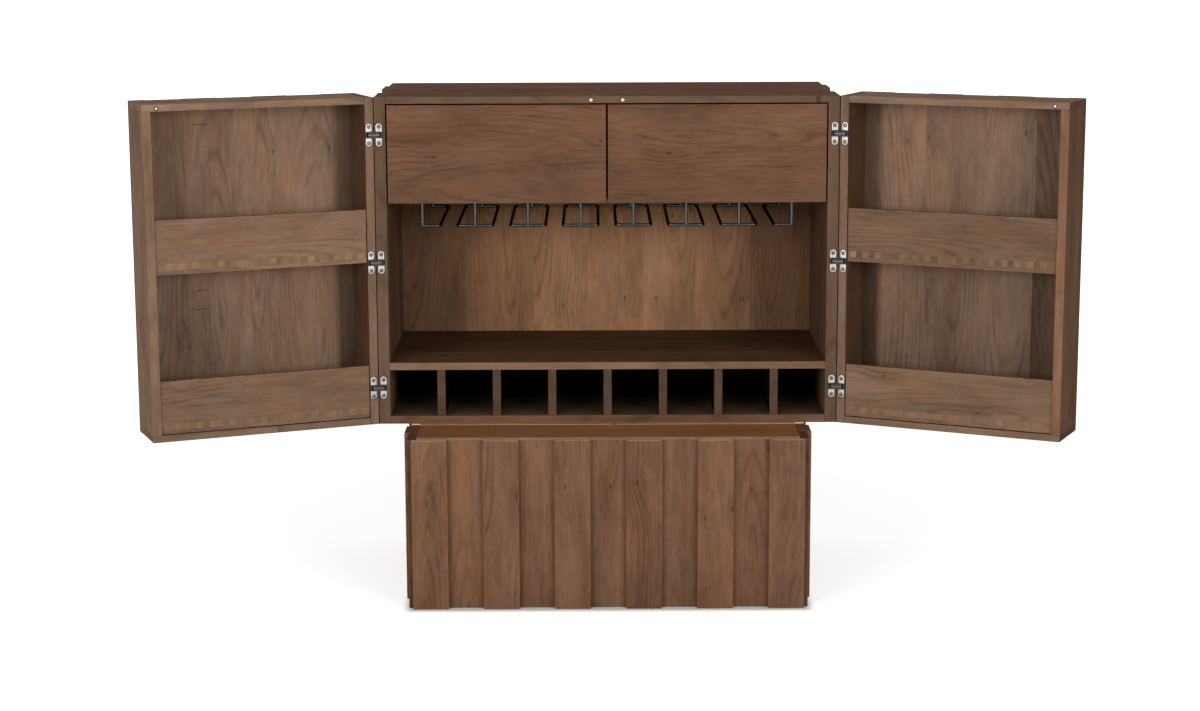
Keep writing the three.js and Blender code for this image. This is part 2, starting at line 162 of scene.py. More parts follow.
class Graph:
    """Adds nodes to one node tree and joins them."""

    def __init__(self, tree: bpy.types.NodeTree) -> None:
        """Takes the tree that the nodes go into.

        Args:
            tree: A material's, world's or group's node tree.
        """
        self.tree = tree

    def add(self, kind: str, inputs: dict | None = None, **settings) -> bpy.types.Node:
        """Adds a node.

        Args:
            kind: The node's type name, without the words ShaderNode.
            inputs: Values or sockets for inputs, by name or number.
            settings: Properties of the node.

        Returns:
            The node.
        """
        node = self.tree.nodes.new(f"ShaderNode{kind}")
        for key, value in settings.items():
            setattr(node, key, value)
        for key, value in (inputs or {}).items():
            self.feed(value, node.inputs[key])
        return node

    def feed(self, value: object, socket: bpy.types.NodeSocket) -> None:
        """Links a socket to an input, or sets the input's value.

        Args:
            value: A socket to link from, or a number, vector or colour.
            socket: The input.
        """
        if isinstance(value, bpy.types.NodeSocket):
            self.tree.links.new(value, socket)
        else:
            socket.default_value = value

    def math(
        self, operation: str, *values: object, clamp: bool = False,
    ) -> bpy.types.NodeSocket:
        """Adds a Math node.

        Args:
            operation: The operation's name.
            values: Numbers or sockets, in the node's order.
            clamp: Whether the result stays between 0 and 1.

        Returns:
            The result's socket.
        """
        node = self.add("Math", dict(enumerate(values)), operation=operation, use_clamp=clamp)
        return node.outputs[0]

    def vector(self, operation: str, *values: object) -> bpy.types.NodeSocket:
        """Adds a Vector Math node.

        Args:
            operation: The operation's name.
            values: Vectors or sockets, in the node's order.

        Returns:
            The result vector's socket.
        """
        node = self.add("VectorMath", dict(enumerate(values)), operation=operation)
        return node.outputs[0]

    def sway(
        self, pattern: object, share: object, middle: object, clamp: bool = False,
    ) -> bpy.types.NodeSocket:
        """Adds a share of a pattern's distance from its mean of a half to a middle value.

        Args:
            pattern: The pattern's socket.
            share: What the distance is multiplied by.
            middle: The value or socket that it is added to.
            clamp: Whether the result stays between 0 and 1.

        Returns:
            The result's socket.
        """
        centred = self.math("SUBTRACT", pattern, 0.5)
        return self.math("MULTIPLY_ADD", centred, share, middle, clamp=clamp)

    def scale(self, vector: object, share: object) -> bpy.types.NodeSocket:
        """Multiplies a vector or colour by a number or socket."""
        return self.add("VectorMath", {0: vector, "Scale": share}, operation="SCALE").outputs[0]

    def part(self, vector: object, number: int) -> bpy.types.NodeSocket:
        """Takes one part of a vector, by its number."""
        return self.add("SeparateXYZ", {0: vector}).outputs[number]

    def attribute(self, name: str) -> bpy.types.NodeSocket:
        """Reads a vector that the mesh carries, by its name."""
        return self.add("Attribute", attribute_name=name).outputs["Vector"]

    def mix(
        self, factor: object, first: object, second: object, blend: str = "MIX",
    ) -> bpy.types.NodeSocket:
        """Adds a Mix node for colours.

        Args:
            factor: How much of the second colour shows.
            first: The first colour.
            second: The second colour.
            blend: The blend type's name.

        Returns:
            The mixed colour's socket.
        """
        node = self.add("Mix", data_type="RGBA", blend_type=blend)
        for value, number in ((factor, 0), (first, 6), (second, 7)):
            self.feed((*value, 1) if isinstance(value, tuple) else value, node.inputs[number])
        return node.outputs[2]

    def step(self, value: object, low: float, high: float) -> bpy.types.NodeSocket:
        """Adds a smooth step from 0 at low to 1 at high.

        Args:
            value: The number or socket that is looked at.
            low: Where the step starts.
            high: Where the step ends.

        Returns:
            The result's socket.
        """
        node = self.add(
            "MapRange",
            {"Value": value, "From Min": low, "From Max": high},
            interpolation_type="SMOOTHSTEP",
        )
        return node.outputs[0]

    def noise(self, vector: object, scale: Point, detail: float = 2.0) -> bpy.types.NodeSocket:
        """Adds a Noise Texture that is stretched along an axis.

        Args:
            vector: The coordinates' socket.
            scale: The scale along each axis, per metre.
            detail: The number of finer layers.

        Returns:
            The noise value's socket.
        """
        stretched = self.vector("MULTIPLY", vector, scale)
        node = self.add("TexNoise", {"Vector": stretched, "Scale": 1.0, "Detail": detail})
        return node.outputs[0]


class SocketKind(Enum):
    """The kinds of socket that the groups have."""

    NUMBER = "NodeSocketFloat"
    VECTOR = "NodeSocketVector"
    COLOUR = "NodeSocketColor"


class Group:
    """A shader node group with named inputs and outputs."""

    def __init__(
        self, name: str, inputs: dict[str, SocketKind], outputs: dict[str, SocketKind],
    ) -> None:
        """Makes the group's tree and its sockets.

        Args:
            name: The group's name.
            inputs: The inputs' names and kinds.
            outputs: The outputs' names and kinds.
        """
        self.tree = bpy.data.node_groups.new(name, "ShaderNodeTree")
        for names, direction in ((inputs, "INPUT"), (outputs, "OUTPUT")):
            for socket_name, kind in names.items():
                self.tree.interface.new_socket(
                    name=socket_name, in_out=direction, socket_type=kind.value,
                )
        self.graph = Graph(self.tree)
        self.given = self.tree.nodes.new("NodeGroupInput").outputs
        self.result = self.tree.nodes.new("NodeGroupOutput").inputs

    def put(self, **values: object) -> None:
        """Joins sockets to the group's outputs.

        Args:
            values: Sockets by the output's name.
        """
        for name, value in values.items():
            self.graph.feed(value, self.result[name])

    def place(self, graph: Graph, inputs: dict) -> bpy.types.Node:
        """Places the group in another tree.

        Args:
            graph: The graph that takes it.
            inputs: Values or sockets by the input's name.

        Returns:
            The group's node.
        """
        node = graph.add("Group", None, node_tree=self.tree)
        for name, value in inputs.items():
            graph.feed(value, node.inputs[name])
        return node


@dataclass(frozen=True)
class Grain:
    """The scales of the wood's pattern, per metre along, across and through a board.

    A share says how much a pattern lightens the wood, or darkens it where it is negative.
    """

    wander_scale: Point = (1.6, 9.0, 9.0)
    wander: float = 0.06
    broad_scale: Point = (3.6, 15.0, 15.0)
    broad_share: float = 1.05
    mottle_scale: Point = (24.0, 85.0, 85.0)
    mottle_share: float = 0.55
    streak_scale: Point = (9.0, 260.0, 260.0)
    streak_share: float = 0.42
    fibre_scale: Point = (60.0, 900.0, 900.0)
    fibre_share: float = 0.5
    hue_scale: Point = (8.0, 36.0, 36.0)
    hue_limits: Plan = (0.36, 0.64)
    hue_spread: float = 0.14
    pore_scale: Point = (55.0, 1500.0, 1500.0)
    pore_limits: Plan = (0.6, 0.72)
    line_pitch: float = 0.0095
    line_power: float = 4.0
    line_share: float = -0.26
    line_patch_scale: Point = (3.0, 14.0, 14.0)
    line_patch_limits: Plan = (0.44, 0.62)
    lengthening: float = 0.12
    middle_along: float = 0.6
    middle_across: float = 0.09
    knot_scale: Point = (5.0, 11.0, 0.0)
    knot_limits: Plan = (0.008, 0.042)
    knot_rarity: float = 0.7
    swirl_reach: float = 0.4
    swirl_bend: float = 0.009
    swirl_share: float = -0.12
    board_shift: float = 41.0

    def build(self) -> Group:
        """Builds the pattern that one sawn board shows.

        Returns:
            The group. Its Light output is 1 in pale wood and 0 in dark wood, and its Warmth
            output is 1 in ruddy wood and 0 in olive wood. Pores and Knots are masks.
        """
        group = Group(
            "board_grain",
            {"Board": SocketKind.VECTOR, "Seed": SocketKind.VECTOR},
            {name: SocketKind.NUMBER for name in ("Light", "Warmth", "Pores", "Knots")},
        )
        g = group.graph
        seed = group.given["Seed"]
        seeds = g.add("SeparateXYZ", {0: seed}).outputs
        spot = g.vector("ADD", group.given["Board"], g.scale(seed, self.board_shift))
        knots, swirl = self.knots(g, spot)

        slow = g.noise(spot, self.wander_scale, 2.0)
        wander = g.math(
            "MULTIPLY_ADD", swirl, self.swirl_bend, g.math("MULTIPLY", slow, self.wander),
        )
        bent = g.vector("ADD", spot, g.add("CombineXYZ", {"Y": wander}).outputs[0])
        lines = self.lines(g, group.given["Board"], seeds, spot, wander)

        light: object = 0.5
        for scale, detail, share in (
            (self.broad_scale, 2.0, self.broad_share),
            (self.mottle_scale, 3.0, self.mottle_share),
            (self.streak_scale, 2.0, self.streak_share),
            (self.fibre_scale, 1.0, self.fibre_share),
        ):
            light = g.sway(g.noise(bent, scale, detail), share, light)
        light = g.math("MULTIPLY_ADD", swirl, self.swirl_share, light)
        light = g.math("MULTIPLY_ADD", lines, self.line_share, light)
        hue = g.noise(g.vector("ADD", bent, (3.0, 7.0, 1.0)), self.hue_scale, 3.0)
        group.put(
            Light=g.math("ADD", light, 0.0, clamp=True),
            Warmth=g.step(g.sway(seeds[1], self.hue_spread, hue), *self.hue_limits),
            Pores=g.step(g.noise(bent, self.pore_scale, 1.0), *self.pore_limits),
            Knots=knots,
        )
        return group

    def knots(self, g: Graph, spot: object) -> tuple[bpy.types.NodeSocket, bpy.types.NodeSocket]:
        """Adds the knots.

        Args:
            g: The group's graph.
            spot: The place in the wood.

        Returns:
            The knots' mask, and the wider one of the wood that turns round them.
        """
        cells = g.add(
            "TexVoronoi",
            {
                "Vector": g.vector("MULTIPLY", spot, self.knot_scale),
                "Scale": 1.0, "Randomness": 0.9,
            },
            voronoi_dimensions="2D",
        ).outputs
        chance = g.add("SeparateColor", {0: cells["Color"]}).outputs[0]
        present = g.math("GREATER_THAN", chance, self.knot_rarity)
        return tuple(
            g.math("MULTIPLY", present, g.math("SUBTRACT", 1.0, g.step(cells["Distance"], *limits)))
            for limits in (self.knot_limits, (0.0, self.swirl_reach))
        )

    def lines(
        self, g: Graph, board: object, seeds: Sequence, spot: object, wander: object,
    ) -> bpy.types.NodeSocket:
        """Adds the growth lines: a board's cut through long rings round its own middle.

        Args:
            g: The group's graph.
            board: The place on the board.
            seeds: The board's random numbers.
            spot: The place in the wood.
            wander: How far the grain wanders sideways.

        Returns:
            1 on the lines, where the board shows any.
        """
        parts = g.add("SeparateXYZ", {0: board}).outputs
        along = g.sway(seeds[1], self.middle_along, parts[0])
        across = g.sway(seeds[2], self.middle_across, g.math("ADD", parts[1], wander))
        long_part = g.math("POWER", g.math("MULTIPLY", along, self.lengthening), 2.0)
        radius = g.math("SQRT", g.math("ADD", g.math("POWER", across, 2.0), long_part))
        turn = g.math("SINE", g.math("MULTIPLY", radius, math.tau / self.line_pitch))
        lines = g.math("POWER", g.math("MULTIPLY_ADD", turn, 0.5, 0.5), self.line_power)
        patches = g.noise(g.vector("ADD", spot, (9.0, 2.0, 5.0)), self.line_patch_scale, 2.0)
        return g.math("MULTIPLY", lines, g.step(patches, *self.line_patch_limits))


def wear_group() -> Group:
    """Builds the paler eased edges, partly from use and partly a painted highlight, and the darker
    cut ends of a board.

    Returns:
        The group. Marks holds 1 on an eased edge in X and 1 on a cut end in Y.
    """
    group = Group(
        "edge_wear",
        {
            "Colour": SocketKind.COLOUR,
            "Rubbed": SocketKind.COLOUR,
            "Board": SocketKind.VECTOR,
            "Seed": SocketKind.VECTOR,
            "Marks": SocketKind.VECTOR,
            "Amount": SocketKind.NUMBER,
            "End Shade": SocketKind.NUMBER,
        },
        {"Colour": SocketKind.COLOUR},
    )
    g, given = group.graph, group.given
    marks = g.add("SeparateXYZ", {0: given["Marks"]}).outputs
    spot = g.vector("ADD", given["Board"], given["Seed"])
    broken = g.step(g.noise(spot, (38.0, 38.0, 38.0), 3.0), 0.36, 0.62)
    rub = g.math("MULTIPLY", g.math("MULTIPLY", marks[0], broken), given["Amount"])
    shade = g.math("MULTIPLY", marks[1], given["End Shade"])
    rubbed = g.mix(rub, given["Colour"], given["Rubbed"])
    group.put(Colour=g.scale(rubbed, g.math("SUBTRACT", 1.0, shade)))
    return group


def plain_material(name: str) -> tuple[bpy.types.Material, Graph, bpy.types.NodeInputs]:
    """Makes a material with only its Principled BSDF.

    Args:
        name: The material's name.

    Returns:
        The material, its graph and the shader's inputs.
    """
    material = bpy.data.materials.new(name)
    material.use_nodes = True
    return material, Graph(material.node_tree), material.node_tree.nodes["Principled BSDF"].inputs


@dataclass(frozen=True)
class WoodFinish:
    """Brushed, matt, tinted hardwood around one mean colour."""

    name: str
    mean: Colour
    # Colour of the eased edges: paled by use, and partly a painted highlight along the arrises.
    rubbed: Colour
    contrast: float = 1.0
    rub: float = 0.4
    end_shade: float = 0.2
    spread: float = 0.4
    roughness: float = 0.74
    specular: float = 0.02
    pale: float = 1.38
    deep: float = 0.62
    ruddy: Colour = (1.04, 0.975, 0.91)
    olive: Colour = (0.975, 1.012, 1.02)
    mark_level: float = 0.22
    pore_share: float = 0.22
    mark_share: float = 0.66

    def build(self, grain: Group, wear_and_highlight: Group) -> bpy.types.Material:
        """Makes the material.

        Args:
            grain: The grain group.
            wear_and_highlight: The group of edges paled by use and by a painted highlight.

        Returns:
            The material.
        """
        material, g, shader = plain_material(self.name)
        board, seed, marks = map(g.attribute, (BOARD_ATTRIBUTE, SEED_ATTRIBUTE, MARKS_ATTRIBUTE))
        pattern = grain.place(g, {"Board": board, "Seed": seed}).outputs
        light = g.sway(pattern["Light"], self.contrast, 0.5, clamp=True)
        body = g.mix(light, scaled(self.mean, self.deep), scaled(self.mean, self.pale))
        body = g.mix(1.0, body, g.mix(pattern["Warmth"], self.olive, self.ruddy), "MULTIPLY")
        level = g.math("ADD", g.sway(g.part(seed, 0), 2 * self.spread, 1.0), g.part(marks, 2))
        dark = g.math(
            "ADD", g.math("MULTIPLY", pattern["Pores"], self.pore_share), pattern["Knots"],
            clamp=True,
        )
        toned = g.mix(
            g.math("MULTIPLY", dark, self.mark_share), g.scale(body, level),
            scaled(self.mean, self.mark_level),
        )
        worn_and_highlit = wear_and_highlight.place(g, {
            "Colour": toned, "Rubbed": (*self.rubbed, 1), "Board": board, "Seed": seed,
            "Marks": marks, "Amount": self.rub, "End Shade": self.end_shade,
        })
        g.feed(worn_and_highlit.outputs["Colour"], shader["Base Color"])
        rough = g.sway(pattern["Light"], -0.14, self.roughness)
        g.feed(g.math("MULTIPLY_ADD", pattern["Pores"], 0.1, rough), shader["Roughness"])
        shader["Specular IOR Level"].default_value = self.specular
        height = g.math(
            "MULTIPLY_ADD", pattern["Pores"], -0.8, g.math("MULTIPLY", pattern["Light"], 0.6),
        )
        bump = g.add("Bump", {"Height": height, "Strength": 0.3, "Distance": 0.0004})
        g.feed(bump.outputs[0], shader["Normal"])
        return material


@dataclass(frozen=True)
class MetalFinish:
    """Plain or coated metal with fine irregularity."""

    name: str
    colour: Colour
    metallic: float
    roughness: float
    unevenness: float = 0.12
    speck: float = 260.0
    bump: float = 0.08
    specular: float = 0.5
    grazing: Colour = (1.0, 1.0, 1.0)
    pitting: float = 2200.0

    def build(self) -> bpy.types.Material:
        """Makes the material.

        Returns:
            The material.
        """
        material, g, shader = plain_material(self.name)
        place = g.add("TexCoord").outputs["Object"]
        coarse = g.noise(place, (self.speck,) * 3, 3.0)
        fine = g.noise(place, (self.pitting,) * 3, 1.0)
        tinted = g.scale(self.colour, g.sway(coarse, self.unevenness, 1.0))
        g.feed(tinted, shader["Base Color"])
        g.feed(g.sway(coarse, self.unevenness * 2, self.roughness), shader["Roughness"])
        shader["Metallic"].default_value = self.metallic
        shader["Specular IOR Level"].default_value = self.specular
        shader["Specular Tint"].default_value = (*self.grazing, 1)
        bump = g.add("Bump", {"Height": fine, "Strength": self.bump, "Distance": 0.0002})
        g.feed(bump.outputs[0], shader["Normal"])
        return material


class Finish(Enum):
    """The finishes that the armoire's pieces take."""

    CASE = "carcass_wood"
    BASE = "base_wood"
    LEDGE = "ledge_wood"
    DOOR = "door_wood"
    TRAY = "tray_wood"
    DRAWER = "drawer_wood"
    WIRE = "black_wire"
    ZINC = "hinge_zinc"
    STEEL = "slide_steel"
    STAINED = "stained_black"
    RAW = "raw_strip"
    BACK = "back_wood"
    INNER = "inner_wood"
    GAP = "gap_wood"
    TOP = "top_wood"
    SCREW = "screw_steel"
    BLACKED = "blacked_steel"
    PLATED = "plated_steel"
    END_GRAIN = "end_grain"


class Palette:
    """Every material of the armoire, made once."""

    def __init__(self) -> None:
        """Builds the shared groups and all materials."""
        grain, wear_and_highlight = Grain().build(), wear_group()
        woods = {
            Finish.CASE: WoodFinish("case_wood", (0.17, 0.1, 0.065), linear(150, 118, 94)),
            Finish.BACK: WoodFinish(
                "back_wood", (0.276, 0.145, 0.079), linear(160, 118, 84), contrast=1.15,
            ),
            # A darker copy of the case wood: painted shade on the niche walls, the shelf top and
            # the faces towards the trays; the doors' meeting-edge faces take it as their darker
            # finish.
            Finish.INNER: WoodFinish("inner_wood", linear(87, 63, 47), linear(100, 72, 54)),
            # Near-black wood: painted shade in the gaps, mortises and saw marks, on the hinge line,
            # on the dividers' sides and under the lower tray rail.
            Finish.GAP: WoodFinish("gap_wood", linear(22, 15, 12), linear(30, 22, 18), rub=0.0),
            Finish.TOP: WoodFinish("top_wood", linear(112, 76, 56), linear(140, 104, 80)),
            Finish.BASE: WoodFinish(
                "base_wood", linear(118, 86, 67), linear(150, 98, 58), 1.3, rub=0.8,
            ),
            Finish.LEDGE: WoodFinish("ledge_wood", linear(137, 93, 63), linear(150, 106, 72)),
            Finish.DOOR: WoodFinish(
                "door_wood", linear(128, 102, 84), linear(152, 124, 100), contrast=1.2,
            ),
            Finish.TRAY: WoodFinish(
                "tray_wood", (0.216, 0.13, 0.084), linear(164, 134, 108), 1.15, rub=0.85,
            ),
            Finish.DRAWER: WoodFinish(
                "drawer_wood", linear(109, 79, 61), linear(128, 96, 74), 1.25,
            ),
            # A darker wood for the cubbies' insides.
            Finish.STAINED: WoodFinish(
                "stained_black", linear(94, 75, 60), linear(98, 79, 64), rub=0.2, roughness=0.8,
            ),
            # Pale raw wood of the riser, made paler as painted light against the shade under the
            # case, and a painted highlight on the base slats' top ends.
            Finish.RAW: WoodFinish("raw_strip", linear(212, 170, 132), linear(220, 180, 142)),
            Finish.END_GRAIN: WoodFinish(
                "end_grain", (0.235, 0.142, 0.086), (0.26, 0.16, 0.1), end_shade=0.0,
            ),
        }
        metals = {
            Finish.WIRE: MetalFinish(
                "black_wire", linear(66, 66, 68), 1.0, 0.27, 0.2, 300.0, 0.15,
                grazing=(0.0, 0.0, 0.0),
            ),
            Finish.ZINC: MetalFinish("hinge_zinc", linear(168, 163, 157), 0.85, 0.48),
            Finish.STEEL: MetalFinish("slide_steel", linear(176, 178, 180), 1.0, 0.36),
            # Dark steel: the link plates' finish, and painted shade in the hinges' recesses and
            # screw holes and round the magnets and strikes.
            Finish.BLACKED: MetalFinish("blacked_steel", linear(20, 19, 19), 0.0, 0.55),
            Finish.SCREW: MetalFinish("screw_steel", linear(96, 92, 88), 1.0, 0.4),
            Finish.PLATED: MetalFinish("plated_steel", linear(182, 176, 170), 1.0, 0.34),
        }
        self.materials = {
            **{finish: wood.build(grain, wear_and_highlight) for finish, wood in woods.items()},
            **{finish: metal.build() for finish, metal in metals.items()},
        }

    def __getitem__(self, finish: Finish) -> bpy.types.Material:
        """Looks a material up by its finish."""
        return self.materials[finish]


# Shapes


def prism(outline: Sequence[Plan], axis: Axis, start: float, end: float) -> bmesh.types.BMesh:
    """Extrudes an outline along an axis.

    Args:
        outline: The corners, in the two other axes in their order.
        axis: The axis that the outline is carried along.
        start: Where the prism starts.
        end: Where the prism ends.

    Returns:
        A closed mesh with its faces outwards.
    """
    mesh = bmesh.new()

    def corner(flat: Plan, height: float) -> Point:
        """Puts the height in at the extrusion's axis.

        Args:
            flat: The corner in the two other axes.
            height: The place along the axis.

        Returns:
            The corner.
        """
        values = list(flat)
        values.insert(axis.value, height)
        return tuple(values)

    rings = [[mesh.verts.new(corner(flat, height)) for flat in outline] for height in (start, end)]
    for ring in rings:
        mesh.faces.new(ring)
    count = len(outline)
    for i in range(count):
        j = (i + 1) % count
        mesh.faces.new([rings[0][i], rings[0][j], rings[1][j], rings[1][i]])
    bmesh.ops.recalc_face_normals(mesh, faces=mesh.faces)
    return mesh


def circle(centre: Plan, radius: float, sides: int) -> list[Plan]:
    """Draws a circle.

    Args:
        centre: The middle.
        radius: The radius.
        sides: The number of corners.

    Returns:
        The corners in turn.
    """
    turns = [math.tau * i / sides for i in range(sides)]
    return [(centre[0] + radius * math.cos(t), centre[1] + radius * math.sin(t)) for t in turns]


def stadium(centre: Plan, length: float, width: float, sides: int = 12) -> list[Plan]:
    """Draws an upright slot with round ends.

    Args:
        centre: The middle.
        length: The height over both ends.
        width: The width.
        sides: The number of steps in each round end.

    Returns:
        The corners in turn.
    """
    radius = width / 2
    reach = length / 2 - radius
    corners = []
    for end in (1, -1):
        for i in range(sides + 1):
            turn = math.pi * i / sides + (0 if end == 1 else math.pi)
            corners.append((
                centre[0] + radius * math.cos(turn),
                centre[1] + end * reach + radius * math.sin(turn),
            ))
    return corners


def block(x: float, z: float, half_width: float, half_height: float) -> list[Plan]:
    """Draws a rectangle from its middle and half its sizes."""
    left, right, low, high = x - half_width, x + half_width, z - half_height, z + half_height
    return [(left, low), (right, low), (right, high), (left, high)]


def ease_edges(
    mesh: bmesh.types.BMesh, width: float, segments: int,
    stays: Callable[[Vector], bool] | None = None,
) -> None:
    """Rounds the sharp edges of a mesh.

    Args:
        mesh: The mesh, which is changed.
        width: How far the rounding reaches from each edge.
        segments: The number of facets in the rounding.
        stays: Says from an edge's middle whether the edge stays sharp.
    """
    sharp = [
        edge for edge in mesh.edges
        if edge.is_manifold and edge.calc_face_angle() > SHARP_EDGE
        and not (stays and stays((edge.verts[0].co + edge.verts[1].co) / 2))
    ]
    bmesh.ops.bevel(
        mesh, geom=sharp, offset=width, offset_type="OFFSET", segments=segments, profile=0.5,
        affect="EDGES", clamp_overlap=True,
    )


def put_in_order(mesh: bmesh.types.BMesh) -> None:
    """Orders a mesh's parts by their places, because a plane cut leaves them in any order.

    Args:
        mesh: The mesh, which is changed.
    """
    kinds = (
        (mesh.verts, lambda part: part.co),
        (mesh.edges, lambda part: part.verts[0].co + part.verts[1].co),
        (mesh.faces, lambda part: part.calc_center_median()),
    )
    for parts, middle in kinds:
        order = sorted(parts, key=lambda part: tuple(middle(part)))
        ranks = {part: rank for rank, part in enumerate(order)}
        parts.sort(key=ranks.get)
        parts.index_update()


def to_object(mesh: bmesh.types.BMesh, name: str) -> bpy.types.Object:
    """Turns a mesh under construction into a linked object.

    Args:
        mesh: The mesh, which is freed.
        name: The object's name.

    Returns:
        The object.
    """
    data = bpy.data.meshes.new(name)
    mesh.to_mesh(data)
    mesh.free()
    made = bpy.data.objects.new(name, data)
    bpy.context.scene.collection.objects.link(made)
    return made


def carve(mesh: bmesh.types.BMesh, cutters: Iterable[bmesh.types.BMesh]) -> bmesh.types.BMesh:
    """Cuts shapes out of a mesh.

    Args:
        mesh: The mesh, which is freed.
        cutters: Closed shapes, which are freed.

    Returns:
        What is left of the mesh.
    """
    whole = to_object(mesh, "carve_whole")
    tools = [to_object(cutter, "carve_tool") for cutter in cutters]
    for tool in tools:
        modifier = whole.modifiers.new("cut", "BOOLEAN")
        modifier.operation, modifier.solver, modifier.object = "DIFFERENCE", "EXACT", tool
    bpy.context.view_layer.update()
    done = bmesh.new()
    done.from_object(whole, bpy.context.evaluated_depsgraph_get())
    for used in (whole, *tools):
        data = used.data
        bpy.data.objects.remove(used)
        bpy.data.meshes.remove(data)
    return done


Chooser = Callable[[Vector, Vector], int]
# A shade changes the level at a face's corner: on some boards their own tone, on others painted
# light and shade.
Shade = Callable[[Vector, Vector], float]


@dataclass
class Board:
    """One board, from its lowest to its highest corner, in millimetres.

    The chooser names a face's finish from its middle and normal. The shade adds to the level
    of a face's corner, from the corner and the face's normal.
    """

    low: Point
    high: Point
    grain: Axis
    tone: float | None = None
    ease: float = 0.7
    segments: int = 2
    finish: int = 0
    outline: Sequence[Plan] | None = None
    along: Axis = Axis.Z
    cutters: Sequence[Callable[[], bmesh.types.BMesh]] = ()
    splits: Sequence[tuple[Axis, float]] = ()
    chooser: Chooser | None = None
    shade: Shade | None = None
    stays: Callable[[Vector], bool] | None = None

    def shape(self) -> bmesh.types.BMesh:
        """Builds the board's mesh.

        Returns:
            The mesh, eased, split and cut.
        """
        low, high = self.low, self.high
        if self.outline is None:
            flat = [(low[0], low[1]), (high[0], low[1]), (high[0], high[1]), (low[0], high[1])]
            mesh = prism(flat, Axis.Z, low[2], high[2])
        else:
            number = self.along.value
            mesh = prism(self.outline, self.along, low[number], high[number])
        if self.ease:
            ease_edges(mesh, self.ease, self.segments, self.stays)
        for axis, level in self.splits:
            normal = [0.0, 0.0, 0.0]
            normal[axis.value] = 1.0
            bmesh.ops.bisect_plane(
                mesh, geom=[*mesh.verts, *mesh.edges, *mesh.faces],
                plane_co=[level * n for n in normal], plane_no=normal,
            )
            put_in_order(mesh)
        if self.cutters:
            mesh = carve(mesh, [cutter() for cutter in self.cutters])
        return mesh

    def axes(self) -> tuple[int, int, int]:
        """Finds the axes along the grain, across the board and through its thickness.

        Returns:
            The three axis numbers.
        """
        others = [n for n in range(3) if n != self.grain.value]
        sizes = {n: self.high[n] - self.low[n] for n in others}
        wide = max(others, key=lambda n: sizes[n])
        thin = next(n for n in others if n != wide)
        return self.grain.value, wide, thin


class Timber:
    """Gathers boards and fittings into one piece."""

    def __init__(self, name: str, finishes: Sequence[bpy.types.Material]) -> None:
        """Starts an empty piece.

        Args:
            name: The piece's name, which the boards' grain is drawn from too.
            finishes: Its materials, in the order that boards number them.
        """
        self.name = name
        self.finishes = list(finishes)
        self.draw = random.Random(name)
        self.corners: list[Vector] = []
        self.faces: list[list[int]] = []
        self.face_finishes: list[int] = []
        self.face_marks: list[list[Point]] = []
        self.places: list[Point] = []
        self.seeds: list[Point] = []
        self.smooth: list[bool] = []

    def add(self, board: Board) -> None:
        """Adds a board.

        Args:
            board: The board, in the piece's own frame.
        """
        mesh = board.shape()
        middle = [(board.low[n] + board.high[n]) / 2 for n in range(3)]
        along, wide, thin = board.axes()
        tone = board.tone if board.tone is not None else self.draw.uniform(*TONE_LIMITS)
        seed = (tone, self.draw.random(), self.draw.random())
        start = len(self.corners)
        mesh.verts.ensure_lookup_table()
        for vertex in mesh.verts:
            local = [(vertex.co[n] - middle[n]) * MILLIMETRE for n in range(3)]
            self.corners.append(vertex.co.copy())
            self.places.append((local[along], local[wide], local[thin]))
            self.seeds.append(seed)
        for face in mesh.faces:
            normal = face.normal
            eased = 0.0 if max(abs(c) for c in normal) > SQUARE else 1.0
            is_end = 1.0 if abs(normal[along]) > FACING else 0.0
            finish = board.finish
            if board.chooser:
                finish = board.chooser(face.calc_center_median(), normal)
            self.faces.append([start + v.index for v in face.verts])
            self.face_finishes.append(finish)
            self.face_marks.append([
                (eased, is_end, board.shade(v.co, normal) if board.shade else 0.0)
                for v in face.verts
            ])
            self.smooth.append(False)
        mesh.free()

    def add_fitting(self, mesh: bmesh.types.BMesh, finish: int, smooth: bool = False) -> None:
        """Adds a shape that isn't a board.

        Args:
            mesh: The shape, which is freed.
            finish: The number of its material.
            smooth: Whether its faces are shaded smooth.
        """
        start = len(self.corners)
        mesh.verts.ensure_lookup_table()
        mesh.verts.index_update()
        for vertex in mesh.verts:
            self.corners.append(vertex.co.copy())
            self.places.append(tuple(vertex.co * MILLIMETRE))
            self.seeds.append((0.5, 0.5, 0.5))
        for face in mesh.faces:
            self.faces.append([start + v.index for v in face.verts])
            self.face_finishes.append(finish)
            self.face_marks.append([(0.0, 0.0, 0.0)] * len(face.verts))
            self.smooth.append(smooth)
        mesh.free()

    def build(self, placing: Matrix | None = None) -> bpy.types.Object:
        """Makes the object, with its corners in metres in the frame.

        Args:
            placing: Where the piece's own frame lies, in millimetres.

        Returns:
            The object, at the origin and with no parent.
        """
        matrix = Matrix.Scale(MILLIMETRE, 4) @ (placing or Matrix.Identity(4))
        turn = -1 if matrix.determinant() < 0 else 1
        faces = [face[::turn] for face in self.faces]
        marks = [mark for face in self.face_marks for mark in face[::turn]]
        data = bpy.data.meshes.new(self.name)
        data.from_pydata([tuple(matrix @ corner) for corner in self.corners], [], faces)
        data.polygons.foreach_set("material_index", self.face_finishes)
        data.polygons.foreach_set("use_smooth", self.smooth)
        for name, domain, values in (
            (BOARD_ATTRIBUTE, "POINT", self.places),
            (SEED_ATTRIBUTE, "POINT", self.seeds),
            (MARKS_ATTRIBUTE, "CORNER", marks),
        ):
            layer = data.attributes.new(name, "FLOAT_VECTOR", domain)
            layer.data.foreach_set("vector", [number for value in values for number in value])
        for material in self.finishes:
            data.materials.append(material)
        data.update()
        made = bpy.data.objects.new(self.name, data)
        bpy.context.scene.collection.objects.link(made)
        return made


